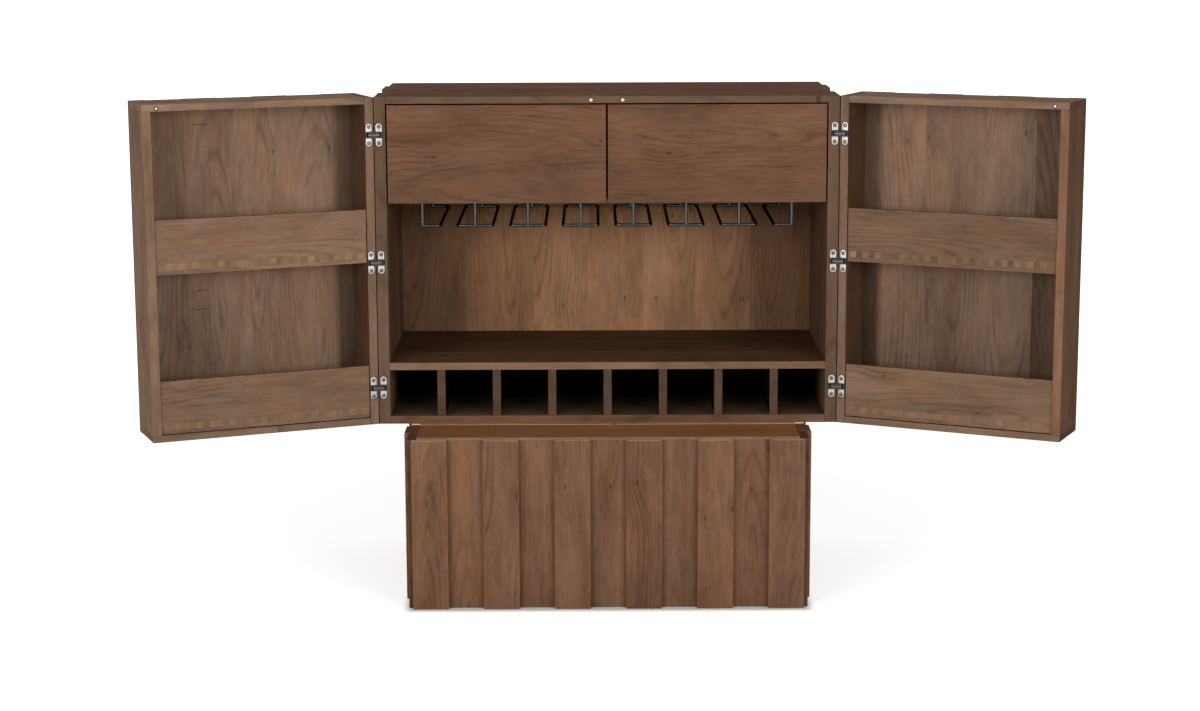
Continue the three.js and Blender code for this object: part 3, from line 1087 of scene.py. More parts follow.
def settle(piece: bpy.types.Object, body: str, slot: Finish, *nodes: str) -> bpy.types.Object:
    """Makes a piece ride on a body and hides the nodes that it stands for.

    Args:
        piece: The finished piece.
        body: The body that carries it.
        slot: The finish whose name is the record's slot; it is not used.
        nodes: The nodes that it replaces.

    Returns:
        The piece.
    """
    if nodes:
        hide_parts(*nodes)
    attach(piece, body)
    LOG.info("%s rides on %s, %d faces", piece.name, body, len(piece.data.polygons))
    return piece


def tube(path: Sequence[Point], radius: float, sides: int, closed: bool) -> bmesh.types.BMesh:
    """Bends a round wire along a level path.

    Args:
        path: The points of the wire's middle line, all at one height.
        radius: The wire's radius.
        sides: The number of sides of the wire.
        closed: Whether the path comes back to its start.

    Returns:
        A closed mesh.
    """
    mesh = bmesh.new()
    points = [Vector(p) for p in path]
    count = len(points)
    rings = []
    for i, point in enumerate(points):
        before = points[i - 1] if closed or i > 0 else point
        after = points[(i + 1) % count] if closed or i < count - 1 else point
        sideways = (after - before).normalized().cross(Vector((0, 0, 1)))
        ring = []
        for j in range(sides):
            turn = math.tau * (j + 0.5) / sides
            offset = sideways * math.cos(turn) + Vector((0, 0, 1)) * math.sin(turn)
            ring.append(mesh.verts.new(point + offset * radius))
        rings.append(ring)
    for i in range(count if closed else count - 1):
        first, second = rings[i], rings[(i + 1) % count]
        for j in range(sides):
            k = (j + 1) % sides
            mesh.faces.new([first[j], first[k], second[k], second[j]])
    if not closed:
        mesh.faces.new(rings[0])
        mesh.faces.new(rings[-1])
    bmesh.ops.recalc_face_normals(mesh, faces=mesh.faces)
    return mesh


# The armoire's sub-assemblies


@dataclass(frozen=True)
class CaseSizes:
    """The sizes of the case that the other parts also need, in millimetres."""

    half: float = 482.5
    side_board: float = 24.0
    side_recess: float = 8.0
    front: float = -123.0
    back: float = 282.0
    back_board: float = 13.0
    under: float = 361.0
    top: float = 1050.0
    top_board: float = 14.0
    bottom_board: float = 17.0
    cubby_height: float = 98.5
    shelf_board: float = 15.5
    deck_under: float = 834.0
    deck_board: float = 15.0
    seam: float = 0.3

    @property
    def inner_half(self) -> float:
        """Half the width between the sides."""
        return self.half - self.side_board

    @property
    def inner_back(self) -> float:
        """The front face of the back panel."""
        return self.back - self.back_board

    @property
    def bottom_top(self) -> float:
        """The upper face of the bottom board."""
        return self.under + self.bottom_board

    @property
    def shelf_under(self) -> float:
        """The lower face of the bar shelf."""
        return self.bottom_top + self.cubby_height

    @property
    def shelf_top(self) -> float:
        """The upper face of the bar shelf."""
        return self.shelf_under + self.shelf_board

    @property
    def opening_top(self) -> float:
        """The lower face of the top board."""
        return self.top - self.top_board


@dataclass(frozen=True)
class HingeSizes:
    """The sizes of a concealed hinge, in millimetres."""

    length: float = 48.0
    width: float = 13.0
    thickness: float = 3.0
    edge_distance: float = 10.6
    end_distance: float = 78.0
    slot_length: float = 19.0
    slot_width: float = 8.0
    cavity: float = 18.0
    screw_spacing: float = 34.0
    body_height: float = 13.6
    seam: float = 0.3
    play: float = 0.95

    def heights(self, case: CaseSizes) -> dict[str, float]:
        """Gives the hinges' middles.

        Args:
            case: The case that they are let into.

        Returns:
            The height of each hinge by name.
        """
        return {
            "lower": case.under + self.end_distance,
            "middle": (case.under + case.top) / 2,
            "upper": case.top - self.end_distance,
        }

    def mortise(
        self, x: float, z: float, face: float, inward: int,
    ) -> list[Callable[[], bmesh.types.BMesh]]:
        """Describes the cuts that a leaf needs in the wood.

        Args:
            x: The leaf's middle.
            z: The leaf's height.
            face: The Y of the face that it is let into.
            inward: 1 if the wood lies at higher Y, or -1.

        Returns:
            The makers of the cutters.
        """
        def cutter(length: float, width: float, depth: float) -> Callable[[], bmesh.types.BMesh]:
            """Describes one cut with round ends.

            Args:
                length: The height of what goes in.
                width: Its width.
                depth: Its depth.

            Returns:
                The cutter's maker.
            """
            outline = stadium((x, z), length + 2 * self.play, width + 2 * self.play)
            ends = sorted((face - inward * PAST, face + inward * depth))
            return lambda: prism(outline, Axis.Y, *ends)

        return [
            cutter(self.length, self.width, self.thickness + self.seam),
            cutter(self.slot_length, self.slot_width, self.cavity),
        ]


@dataclass
class SlattedBase:
    """The box base: slatted front and sides, and the ledge board with its riser."""

    palette: Palette
    case: CaseSizes
    height: float = 358.0
    front_half: float = 405.5
    front: float = -282.0
    front_board: float = 20.0
    proud: float = 13.0
    front_slats: int = 11
    side_board: float = 18.0
    side_proud: float = 10.0
    side_step: float = 9.0
    side_slats: int = 8
    inner_board: float = 18.0
    riser_setback: float = 1.0
    slat_ease: float = 1.6
    thin_ease: float = 0.6
    thin_side_ease: float = 0.8
    # The next three fields: how high and how deep the painted shade near the floor reaches, and the
    # painted light on the thick slats' flanks.
    foot_height: float = 95.0
    foot_shade: float = -0.17
    flank_shade: float = 0.35
    front_tones: tuple[float, ...] = (0.52, 0.54, 0.5, 0.5, 0.46, 0.5, 0.46, 0.5, 0.52, 0.46, 0.5)
    side_tones: tuple[float, ...] = (0.46, 0.58, 0.5, 0.42)
    first_side_tone: float = 0.2
    back_boards: int = 7
    bottom_boards: int = 5
    ledge_joints: tuple[float, ...] = (-40.0, 90.0, 235.0)
    ledge_tone: float = 0.8
    riser_tone: float = 0.95
    riser_root: float = 3.0

    def __post_init__(self) -> None:
        """Works out the levels that the boards share."""
        self.side_front = self.front + self.proud
        self.front_inner = self.side_front + self.front_board
        self.thin_half = self.front_half + self.side_step
        self.inner_half = self.thin_half - self.side_board
        self.fill = self.inner_half - self.case.seam

    def build(self) -> None:
        """Builds every piece of the base."""
        self.build_front()
        for side in Side:
            self.build_side(side)
        self.build_hidden()
        self.build_ledge()

    def foot(self, corner: Vector, normal: Vector) -> float:
        """Paints shade on the slats towards the floor, and painted light on the thick slats'
        flanks.

        Args:
            corner: A face's corner.
            normal: The face's normal.

        Returns:
            What is added to the level there.
        """
        flank = abs(normal.x) > FACING and corner.y < self.side_front - 1
        foot = self.foot_shade * (1 - ramp(corner.z, 0, self.foot_height))
        return foot + (self.flank_shade if flank else 0.0)

    def build_front(self) -> None:
        """Builds the front's thick and thin slats."""
        timber = Timber(
            "base_front_slats", [self.palette[f] for f in (Finish.BASE, Finish.LEDGE, Finish.RAW)],
        )
        edges = even_edges(-self.front_half, self.front_half, self.front_slats)
        rebate = self.side_front - self.case.seam

        def flank(centre: Vector, normal: Vector) -> int:
            """Gives the thick slats' flanks warmer wood, and the top ends a painted highlight.

            Args:
                centre: A face's middle.
                normal: Its normal.

            Returns:
                The number of its finish.
            """
            if normal.z > FACING:
                return 2
            return 1 if abs(normal.x) > FACING and centre.y < self.side_front else 0

        for i, (left, right) in enumerate(zip(edges, edges[1:])):
            face = self.front if i % 2 == 0 else self.side_front
            inner_left, inner_right = max(left, -self.fill), min(right, self.fill)
            outline = [(left, face), (right, face)]
            outline += [(right, rebate), (inner_right, rebate)] if inner_right < right else []
            outline += [(inner_right, self.front_inner), (inner_left, self.front_inner)]
            outline += [(inner_left, rebate), (left, rebate)] if inner_left > left else []
            timber.add(Board(
                (left, face, 0), (right, self.front_inner, self.height), Axis.Z,
                tone=self.front_tones[i], outline=outline,
                ease=self.slat_ease if i % 2 == 0 else self.thin_ease,
                chooser=flank, shade=self.foot, splits=[(Axis.Z, self.foot_height)],
            ))
        settle(timber.build(), "cabinet", Finish.BASE, "base_front")

    def build_side(self, side: Side) -> None:
        """Builds the slats of one side.

        Args:
            side: Which side.
        """
        timber = Timber(f"base_{side.label}_slats", [self.palette[Finish.BASE]])
        edges = even_edges(self.side_front, self.case.back, self.side_slats)
        for i, (near, far) in enumerate(zip(edges, edges[1:])):
            outer = self.inner_half + self.side_board + (self.side_proud if i % 2 else 0)
            xs = sorted((side.value * self.inner_half, side.value * outer))
            timber.add(Board(
                (xs[0], near, 0), (xs[1], far, self.height), Axis.Z,
                ease=self.slat_ease if i % 2 else self.thin_side_ease,
                tone=self.side_tones[i % len(self.side_tones)] if i else self.first_side_tone,
                shade=self.foot, splits=[(Axis.Z, self.foot_height)],
            ))
        settle(timber.build(), "cabinet", Finish.BASE, f"base_{side.label}_side")

    def build_hidden(self) -> None:
        """Builds the back and the bottom board."""
        back_front = self.case.back - self.inner_board
        back = Timber("base_back_boards", [self.palette[Finish.BASE]])
        edges = even_edges(-self.fill, self.fill, self.back_boards)
        for left, right in zip(edges, edges[1:]):
            back.add(Board((left, back_front, 0), (right, self.case.back, self.height), Axis.Z))
        settle(back.build(), "cabinet", Finish.BASE, "base_back")

        bottom = Timber("base_bottom_boards", [self.palette[Finish.BASE]])
        edges = even_edges(
            self.front_inner + self.case.seam, back_front - self.case.seam, self.bottom_boards,
        )
        for near, far in zip(edges, edges[1:]):
            bottom.add(Board((-self.fill, near, 0), (self.fill, far, self.inner_board), Axis.X))
        settle(bottom.build(), "cabinet", Finish.BASE, "base_bottom")

    def build_ledge(self) -> None:
        """Builds the ledge board and the riser that carries the case."""
        timber = Timber("base_ledge", [self.palette[Finish.LEDGE], self.palette[Finish.RAW]])
        seam = self.case.seam
        near = self.front_inner + seam
        far = self.case.back - self.inner_board - seam
        riser_near = self.case.front + self.riser_setback
        under = self.height - self.inner_board
        edges = [near, *(riser_near + joint for joint in self.ledge_joints), far]
        for start, end in zip(edges, edges[1:]):
            timber.add(Board(
                (-self.fill, start, under), (self.fill, end, self.height), Axis.X,
                ease=0.4, tone=self.ledge_tone,
            ))
        riser_top = self.case.under - seam
        # The riser is made paler than its raw wood: painted light against the shade under the case.
        timber.add(Board(
            (-self.fill, riser_near, self.height - self.riser_root),
            (self.fill, far, riser_top - 0.2), Axis.X, finish=1, ease=0, tone=self.riser_tone,
        ))
        timber.add(Board(
            (-self.thin_half, riser_near, self.height + seam),
            (self.thin_half, self.case.back - self.riser_setback, riser_top),
            Axis.X, finish=1, ease=0.3, tone=self.riser_tone,
        ))
        settle(timber.build(), "cabinet", Finish.LEDGE, "base_top")


@dataclass
class Case:
    """The case: slatted sides, top, bottom, back, deck, bar shelf and cubby dividers."""

    palette: Palette
    sizes: CaseSizes
    hinge: HingeSizes
    side_shares: tuple[float, ...] = (0.3, 0.24, 0.23, 0.23)
    back_edges: tuple[float, ...] = (-458.2, -315, -164, -40, 83, 201, 324, 458.2)
    # The next two fields give the back boards' front faces their levels: partly the boards' own
    # tones, partly painted shade that deepens towards the side walls.
    back_shades: tuple[float, ...] = (-0.22, -0.08, 0.08, 0.0, 0.05, 0.02, -0.2)
    back_end_shade: float = -0.26
    stile_shade: float = -0.19
    wall_shade: float = 0.12
    hinge_line: float = 1.0
    top_tones: tuple[float, ...] = (0.3, 0.3, 0.36, 0.32)
    shelf_tones: tuple[float, ...] = (0.8, 0.5, 0.5)
    bottom_boards: int = 3
    bottom_tone: float = 0.42
    divider_tone: float = 0.12
    deck_tone: float = 0.4
    cubbies: int = 8
    divider_board: float = 17.0
    divider_setback: float = 1.0
    deck_setback: float = 20.0
    magnet_x: float = 32.8
    magnet_z: float = 1042.5
    magnet_diameter: float = 9.4
    slide_middle: float = 228.75
    slide_width: float = 40.0
    groove_back: float = 235.7
    groove_depth: float = 7.3

    def build(self) -> None:
        """Builds every piece of the case."""
        for side in Side:
            self.build_side(side)
        self.build_ends()
        self.build_back()
        self.build_shelf()
        self.build_dividers()
        self.build_deck()

    def wood(self, *others: Finish) -> list[bpy.types.Material]:
        """Lists the case's wood, the dark finish of the cubbies and further finishes."""
        return [self.palette[finish] for finish in (Finish.CASE, Finish.STAINED, *others)]

    def in_cubby(self, z: float) -> bool:
        """Says whether a height lies between the bottom and the bar shelf."""
        return self.sizes.bottom_top < z < self.sizes.shelf_under

    def build_side(self, side: Side) -> None:
        """Builds the slats of one side, with the hinge mortises in the front one.

        Args:
            side: Which side.
        """
        s = self.sizes
        timber = Timber(f"case_{side.label}_slats", self.wood(Finish.INNER, Finish.GAP))
        edges = [s.front]
        for share in self.side_shares:
            edges.append(edges[-1] + share * (s.back - s.front))
        mortises = [
            cutter
            for z in self.hinge.heights(s).values()
            for cutter in self.hinge.mortise(
                side.value * (s.half - self.hinge.edge_distance), z, s.front, 1,
            )
        ]

        def stain(centre: Vector, normal: Vector) -> int:
            """Gives the cubbies a dark finish, and paints shade on the inner face above them and on
            the hinge line.

            Args:
                centre: A face's middle.
                normal: Its normal.

            Returns:
                The number of its finish.
            """
            if -side.value * normal.x > FACING and abs(centre.x) < s.inner_half + 1:
                return 1 if self.in_cubby(centre.z) else 2
            # The hinge line and the mortises take the near-black gap finish: painted shade.
            at_line = abs(centre.x) > s.half - self.hinge_line and centre.y < s.front + 1.1
            in_mortise = s.front + 0.2 < centre.y < s.front + self.hinge.cavity + 1
            return 3 if in_mortise or at_line else 0

        def shade(corner: Vector, normal: Vector) -> float:
            """Darkens the front edge, and lifts the inner face's painted shade a little.

            Args:
                corner: A face's corner.
                normal: The face's normal.

            Returns:
                What is added to the level there.
            """
            if normal.y < -0.3:
                return self.stile_shade
            return self.wall_shade if -side.value * normal.x > FACING else 0.0

        def stays(middle: Vector) -> bool:
            """Keeps the glued seams of the inner face flush."""
            return abs(abs(middle.x) - s.inner_half) < 0.01 and middle.y > s.front + 1

        for i, (near, far) in enumerate(zip(edges, edges[1:])):
            outer = s.half - (s.side_recess if i % 2 else 0)
            xs = sorted((side.value * s.inner_half, side.value * outer))
            timber.add(Board(
                (xs[0], near, s.under), (xs[1], far, s.top), Axis.Z,
                cutters=mortises if i == 0 else (),
                splits=[
                    (Axis.Z, s.bottom_top), (Axis.Z, s.shelf_under),
                    (Axis.X, side.value * (s.half - self.hinge_line)),
                ],
                chooser=stain, stays=stays, ease=1.0, shade=shade,
            ))
        settle(timber.build(), "cabinet", Finish.CASE, f"carcass_{side.label}_side")

    def magnet_disc(self, x: float, wider: float, near: float, far: float) -> bmesh.types.BMesh:
        """Shapes a disc round a magnet's axis.

        Args:
            x: The magnet's X.
            wider: How much the disc's radius is more than the magnet's.
            near: Where the disc starts, behind the case's front.
            far: Where it ends, behind the case's front.

        Returns:
            The disc.
        """
        outline = circle((x, self.magnet_z), self.magnet_diameter / 2 + wider, 20)
        return prism(outline, Axis.Y, self.sizes.front + near, self.sizes.front + far)

    def build_ends(self) -> None:
        """Builds the top with its two magnets, and the bottom."""
        s = self.sizes
        fill = s.inner_half - s.seam
        top = Timber("case_top_boards", self.wood(Finish.BLACKED, Finish.PLATED, Finish.TOP))
        edges = even_edges(s.front, s.back, len(self.top_tones))
        xs = (-self.magnet_x, self.magnet_x)
        pockets = [lambda x=x: self.magnet_disc(x, 0.9, -PAST, 4) for x in xs]
        for i, (near, far) in enumerate(zip(edges, edges[1:])):
            top.add(Board(
                (-fill, near, s.opening_top), (fill, far, s.top), Axis.X,
                cutters=() if i else pockets, tone=self.top_tones[i],
                chooser=lambda centre, normal: 4 if normal.z > FACING else 0,
            ))
        for x in xs:
            # Behind each magnet's button a dark ring: painted shade in the pocket's gap.
            top.add_fitting(self.magnet_disc(x, 0.7, 0.4, 3.6), 2)
            button = self.magnet_disc(x, -1.1, -0.1, 3)
            ease_edges(button, 0.4, 2)
            top.add_fitting(button, 3)
        settle(top.build(), "cabinet", Finish.CASE, "carcass_top")

        def stain(centre: Vector, normal: Vector) -> int:
            """Gives the upper face the dark cubby finish and the front edge the drawer wood.

            Args:
                centre: A face's middle.
                normal: Its normal.

            Returns:
                The number of its finish.
            """
            if normal.z > FACING:
                return 1
            return 2 if normal.y < -FACING else 0

        bottom = Timber("case_bottom_boards", self.wood(Finish.DRAWER))
        edges = even_edges(s.front, s.back, self.bottom_boards)
        for near, far in zip(edges, edges[1:]):
            bottom.add(Board(
                (-fill, near, s.under), (fill, far, s.bottom_top), Axis.X,
                chooser=stain, tone=self.bottom_tone,
            ))
        settle(bottom.build(), "cabinet", Finish.CASE, "carcass_bottom")

    def build_back(self) -> None:
        """Builds the upright boards of the back."""
        s = self.sizes
        timber = Timber("case_back_boards", self.wood(Finish.BACK))

        def stain(centre: Vector, normal: Vector) -> int:
            """Gives the front face the dark cubby finish below the bar shelf, and the back wood
            above.

            Args:
                centre: A face's middle.
                normal: Its normal.

            Returns:
                The number of its finish.
            """
            if normal.y > -FACING:
                return 0
            return 1 if centre.z < s.shelf_under else 2

        def fade(corner: Vector, normal: Vector, level: float) -> float:
            """Paints shade on the front face towards the case's sides, where the side walls shade
            it.

            Args:
                corner: A face's corner.
                normal: The face's normal.
                level: What is added all over the board's front face.

            Returns:
                What is added to the level there.
            """
            ends = self.back_edges[-2:]
            inside = level + self.back_end_shade * ramp(abs(corner.x), *ends)
            return inside if normal.y < -FACING else 0.0

        zs = (s.bottom_top + s.seam, s.opening_top - s.seam)
        for left, right, level in zip(self.back_edges, self.back_edges[1:], self.back_shades):
            timber.add(Board(
                (left, s.inner_back, zs[0]), (right, s.back, zs[1]), Axis.Z, tone=0.5,
                splits=[(Axis.Z, s.shelf_under)], chooser=stain, ease=0.5,
                shade=lambda corner, normal, level=level: fade(corner, normal, level),
                stays=lambda middle: abs(middle.y - s.inner_back) < 0.01,
            ))
        settle(timber.build(), "cabinet", Finish.CASE, "carcass_back")

    def build_shelf(self) -> None:
        """Builds the bar shelf."""
        s = self.sizes
        fill = s.inner_half - s.seam

        def stain(centre: Vector, normal: Vector) -> int:
            """Gives the lower face the dark cubby finish, and paints shade on the upper face.

            Args:
                centre: A face's middle.
                normal: Its normal.

            Returns:
                The number of its finish.
            """
            if normal.z < -FACING:
                return 1
            return 2 if normal.z > FACING else 0

        timber = Timber("bar_shelf_boards", self.wood(Finish.INNER))
        edges = even_edges(s.front, s.inner_back - s.seam, len(self.shelf_tones))
        for i, (near, far) in enumerate(zip(edges, edges[1:])):
            timber.add(Board(
                (-fill, near, s.shelf_under), (fill, far, s.shelf_top), Axis.X, chooser=stain,
                tone=self.shelf_tones[i], stays=lambda middle: middle.y > s.front + 1,
            ))
        settle(timber.build(), "cabinet", Finish.CASE, "bar_shelf")

    def build_dividers(self) -> None:
        """Builds the cubby dividers, with painted shade on their sides."""
        s = self.sizes
        count = self.cubbies - 1
        cubby = (2 * s.inner_half - count * self.divider_board) / self.cubbies
        pitch = cubby + self.divider_board

        def stain(centre: Vector, normal: Vector) -> int:
            """Paints shade on the sides."""
            return 1 if abs(normal.x) > FACING else 0

        for i in range(1, count + 1):
            left = -s.inner_half + i * pitch - self.divider_board
            finishes = [self.palette[f] for f in (Finish.CASE, Finish.GAP)]
            timber = Timber(f"cubby_divider_{i}", finishes)
            timber.add(Board(
                (left, s.front + self.divider_setback, s.bottom_top + s.seam),
                (left + self.divider_board, s.inner_back - s.seam, s.shelf_under - s.seam),
                Axis.Y, chooser=stain, tone=self.divider_tone, ease=0.6,
            ))
            settle(timber.build(), "cabinet", Finish.CASE, f"bottle_divider_{i}")

    def build_deck(self) -> None:
        """Builds the deck under the drawers, with the grooves for the runner bars."""
        s = self.sizes
        fill = s.inner_half - s.seam
        near, far = s.front + self.deck_setback, s.inner_back - s.seam
        top = s.deck_under + s.deck_board
        half = self.slide_width / 2 + s.seam
        start = near - PAST
        middle, reach = (start + self.groove_back) / 2, (self.groove_back - start) / 2
        grooves = [
            lambda x=x: prism(
                block(x, middle, half, reach), Axis.Z, top - self.groove_depth, top + PAST,
            )
            for x in (-self.slide_middle, self.slide_middle)
        ]
        timber = Timber("drawer_deck_boards", self.wood())
        timber.add(Board(
            (-fill, near, s.deck_under), (fill, far, top), Axis.X, cutters=grooves,
            tone=self.deck_tone,
        ))
        settle(timber.build(), "cabinet", Finish.CASE, "drawer_deck")


@dataclass
class StemwareRails:
    """Loops of black wire that hang from the deck."""

    palette: Palette
    case: CaseSizes
    count: int = 8
    wall_gap: float = 72.1
    slot: float = 30.4
    setback: float = 25.0
    back_gap: float = 25.0
    drop: float = 55.0
    corner: float = 9.0
    wire: float = 6.6
    sides: int = 14
    bend_steps: int = 6

    def build(self) -> None:
        """Builds every rail."""
        pitch = 2 * (self.case.inner_half - self.wall_gap) / (self.count - 1)
        length = self.case.inner_back - self.case.front - self.setback - self.back_gap
        half = (pitch - self.slot - self.wire) / 2
        near = self.case.front + self.setback + self.wire / 2
        far = near + length - self.wire
        z = self.case.deck_under - self.drop
        for i in range(self.count):
            x = (i - (self.count - 1) / 2) * pitch
            timber = Timber(f"stemware_loop_{i + 1}", [self.palette[Finish.WIRE]])
            if i in (0, self.count - 1):
                inward = 1 if i == 0 else -1
                first, last = (near, far) if i == 0 else (far, near)
                path = [(x, first, z), *self.bend(x + inward * half, first, inward, -inward, z)]
                path += [*self.bend(x + inward * half, last, inward, inward, z), (x, last, z)]
                timber.add_fitting(tube(path, self.wire / 2, self.sides, False), 0, smooth=True)
            else:
                path = [
                    *self.bend(x + half, near, 1, -1, z), *self.bend(x + half, far, 1, 1, z),
                    *self.bend(x - half, far, -1, 1, z), *self.bend(x - half, near, -1, -1, z),
                ]
                timber.add_fitting(tube(path, self.wire / 2, self.sides, True), 0, smooth=True)
            for y in (near, far):
                ring = circle((x, y), self.wire / 2, self.sides)
                strut = prism(ring, Axis.Z, z, self.case.deck_under - self.case.seam)
                timber.add_fitting(strut, 0, smooth=True)
            rail = timber.build()
            rail.data.set_sharp_from_angle(angle=SHARP_WIRE)
            settle(rail, "cabinet", Finish.WIRE, f"stemware_rail_{i + 1}")

    def bend(self, x: float, y: float, across: int, along: int, z: float) -> list[Point]:
        """Rounds one corner of a loop.

        Args:
            x: The corner's X, before it is rounded.
            y: The corner's Y, before it is rounded.
            across: The sign of X towards the corner.
            along: The sign of Y towards the corner.
            z: The wire's height.

        Returns:
            Points of the bend, in the order that the loop runs.
        """
        points = []
        for i in range(self.bend_steps + 1):
            turn = math.pi / 2 * i / self.bend_steps
            inward = self.corner * (1 - math.sin(turn)), self.corner * (1 - math.cos(turn))
            points.append((x - across * inward[0], y - along * inward[1], z))
        return points if across * along < 0 else points[::-1]


@dataclass
class Drawers:
    """Two drawers with two-board fronts."""

    palette: Palette
    case: CaseSizes
    front_under: float = 829.0
    front_top: float = 1033.0
    front_seam: float = 945.5
    front_board: float = 18.0
    recess: float = 1.0
    outer: float = 455.5
    inner: float = 2.0
    inset: float = 12.0
    wall: float = 12.0
    bottom: float = 14.0
    box_under: float = 850.0
    box_top: float = 1000.0
    box_back: float = 251.3
    groove_half: float = 20.3
    groove_top: float = 856.3
    tones: dict[Side, tuple[float, float]] = field(
        default_factory=lambda: {Side.LEFT: (0.5, 0.52), Side.RIGHT: (0.45, 0.56)}
    )

    def build(self) -> None:
        """Builds both drawers."""
        for side in Side:
            self.build_front(side)
            self.build_box(side)
            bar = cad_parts[f"{side.label}_drawer_slide"]
            bar.data.materials.clear()
            bar.data.materials.append(self.palette[Finish.STEEL])

    def build_front(self, side: Side) -> None:
        """Builds a drawer's front from two boards.

        Args:
            side: Which drawer.
        """
        near = self.case.front + self.recess
        xs = sorted((side.value * self.inner, side.value * self.outer))
        finishes = [self.palette[f] for f in (Finish.DRAWER, Finish.GAP)]
        timber = Timber(f"{side.label}_drawer_face", finishes)

        def rim(centre: Vector, normal: Vector) -> int:
            """Paints shade on the edges that stand in the gaps."""
            inside = self.front_under + 1 < centre.z < self.front_top - 1
            return 1 if abs(normal.x) > FACING or (abs(normal.z) > FACING and not inside) else 0

        levels = (self.front_under, self.front_seam, self.front_top)
        for low, high, tone in zip(levels, levels[1:], self.tones[side]):
            timber.add(Board(
                (xs[0], near, low), (xs[1], near + self.front_board, high), Axis.X,
                tone=tone, ease=0.35, chooser=rim,
            ))
        settle(timber.build(), f"{side.label}_drawer", Finish.DRAWER, f"{side.label}_drawer_front")

    def build_box(self, side: Side) -> None:
        """Builds a drawer's box from four walls and a grooved bottom.

        Args:
            side: Which drawer.
        """
        near = self.case.front + self.recess + self.front_board + self.case.seam
        ends = (self.inner + self.inset, self.outer - self.inset)
        xs = sorted(side.value * end for end in ends)
        middle = sum(xs) / 2
        floor = self.box_under + self.bottom
        timber = Timber(f"{side.label}_drawer_tray", [self.palette[Finish.DRAWER]])
        outline = [
            (xs[0], self.box_under), (middle - self.groove_half, self.box_under),
            (middle - self.groove_half, self.groove_top),
            (middle + self.groove_half, self.groove_top),
            (middle + self.groove_half, self.box_under), (xs[1], self.box_under),
            (xs[1], floor), (xs[0], floor),
        ]
        timber.add(Board(
            (xs[0], near, self.box_under), (xs[1], self.box_back, floor), Axis.Y,
            outline=outline, along=Axis.Y, ease=0.3,
        ))
        for left, right in ((xs[0], xs[0] + self.wall), (xs[1] - self.wall, xs[1])):
            timber.add(Board((left, near, floor), (right, self.box_back, self.box_top), Axis.Y))
        for start, end in ((near, near + self.wall), (self.box_back - self.wall, self.box_back)):
            timber.add(Board(
                (xs[0] + self.wall, start, floor), (xs[1] - self.wall, end, self.box_top), Axis.X,
            ))
        settle(timber.build(), f"{side.label}_drawer", Finish.DRAWER, f"{side.label}_drawer_box")


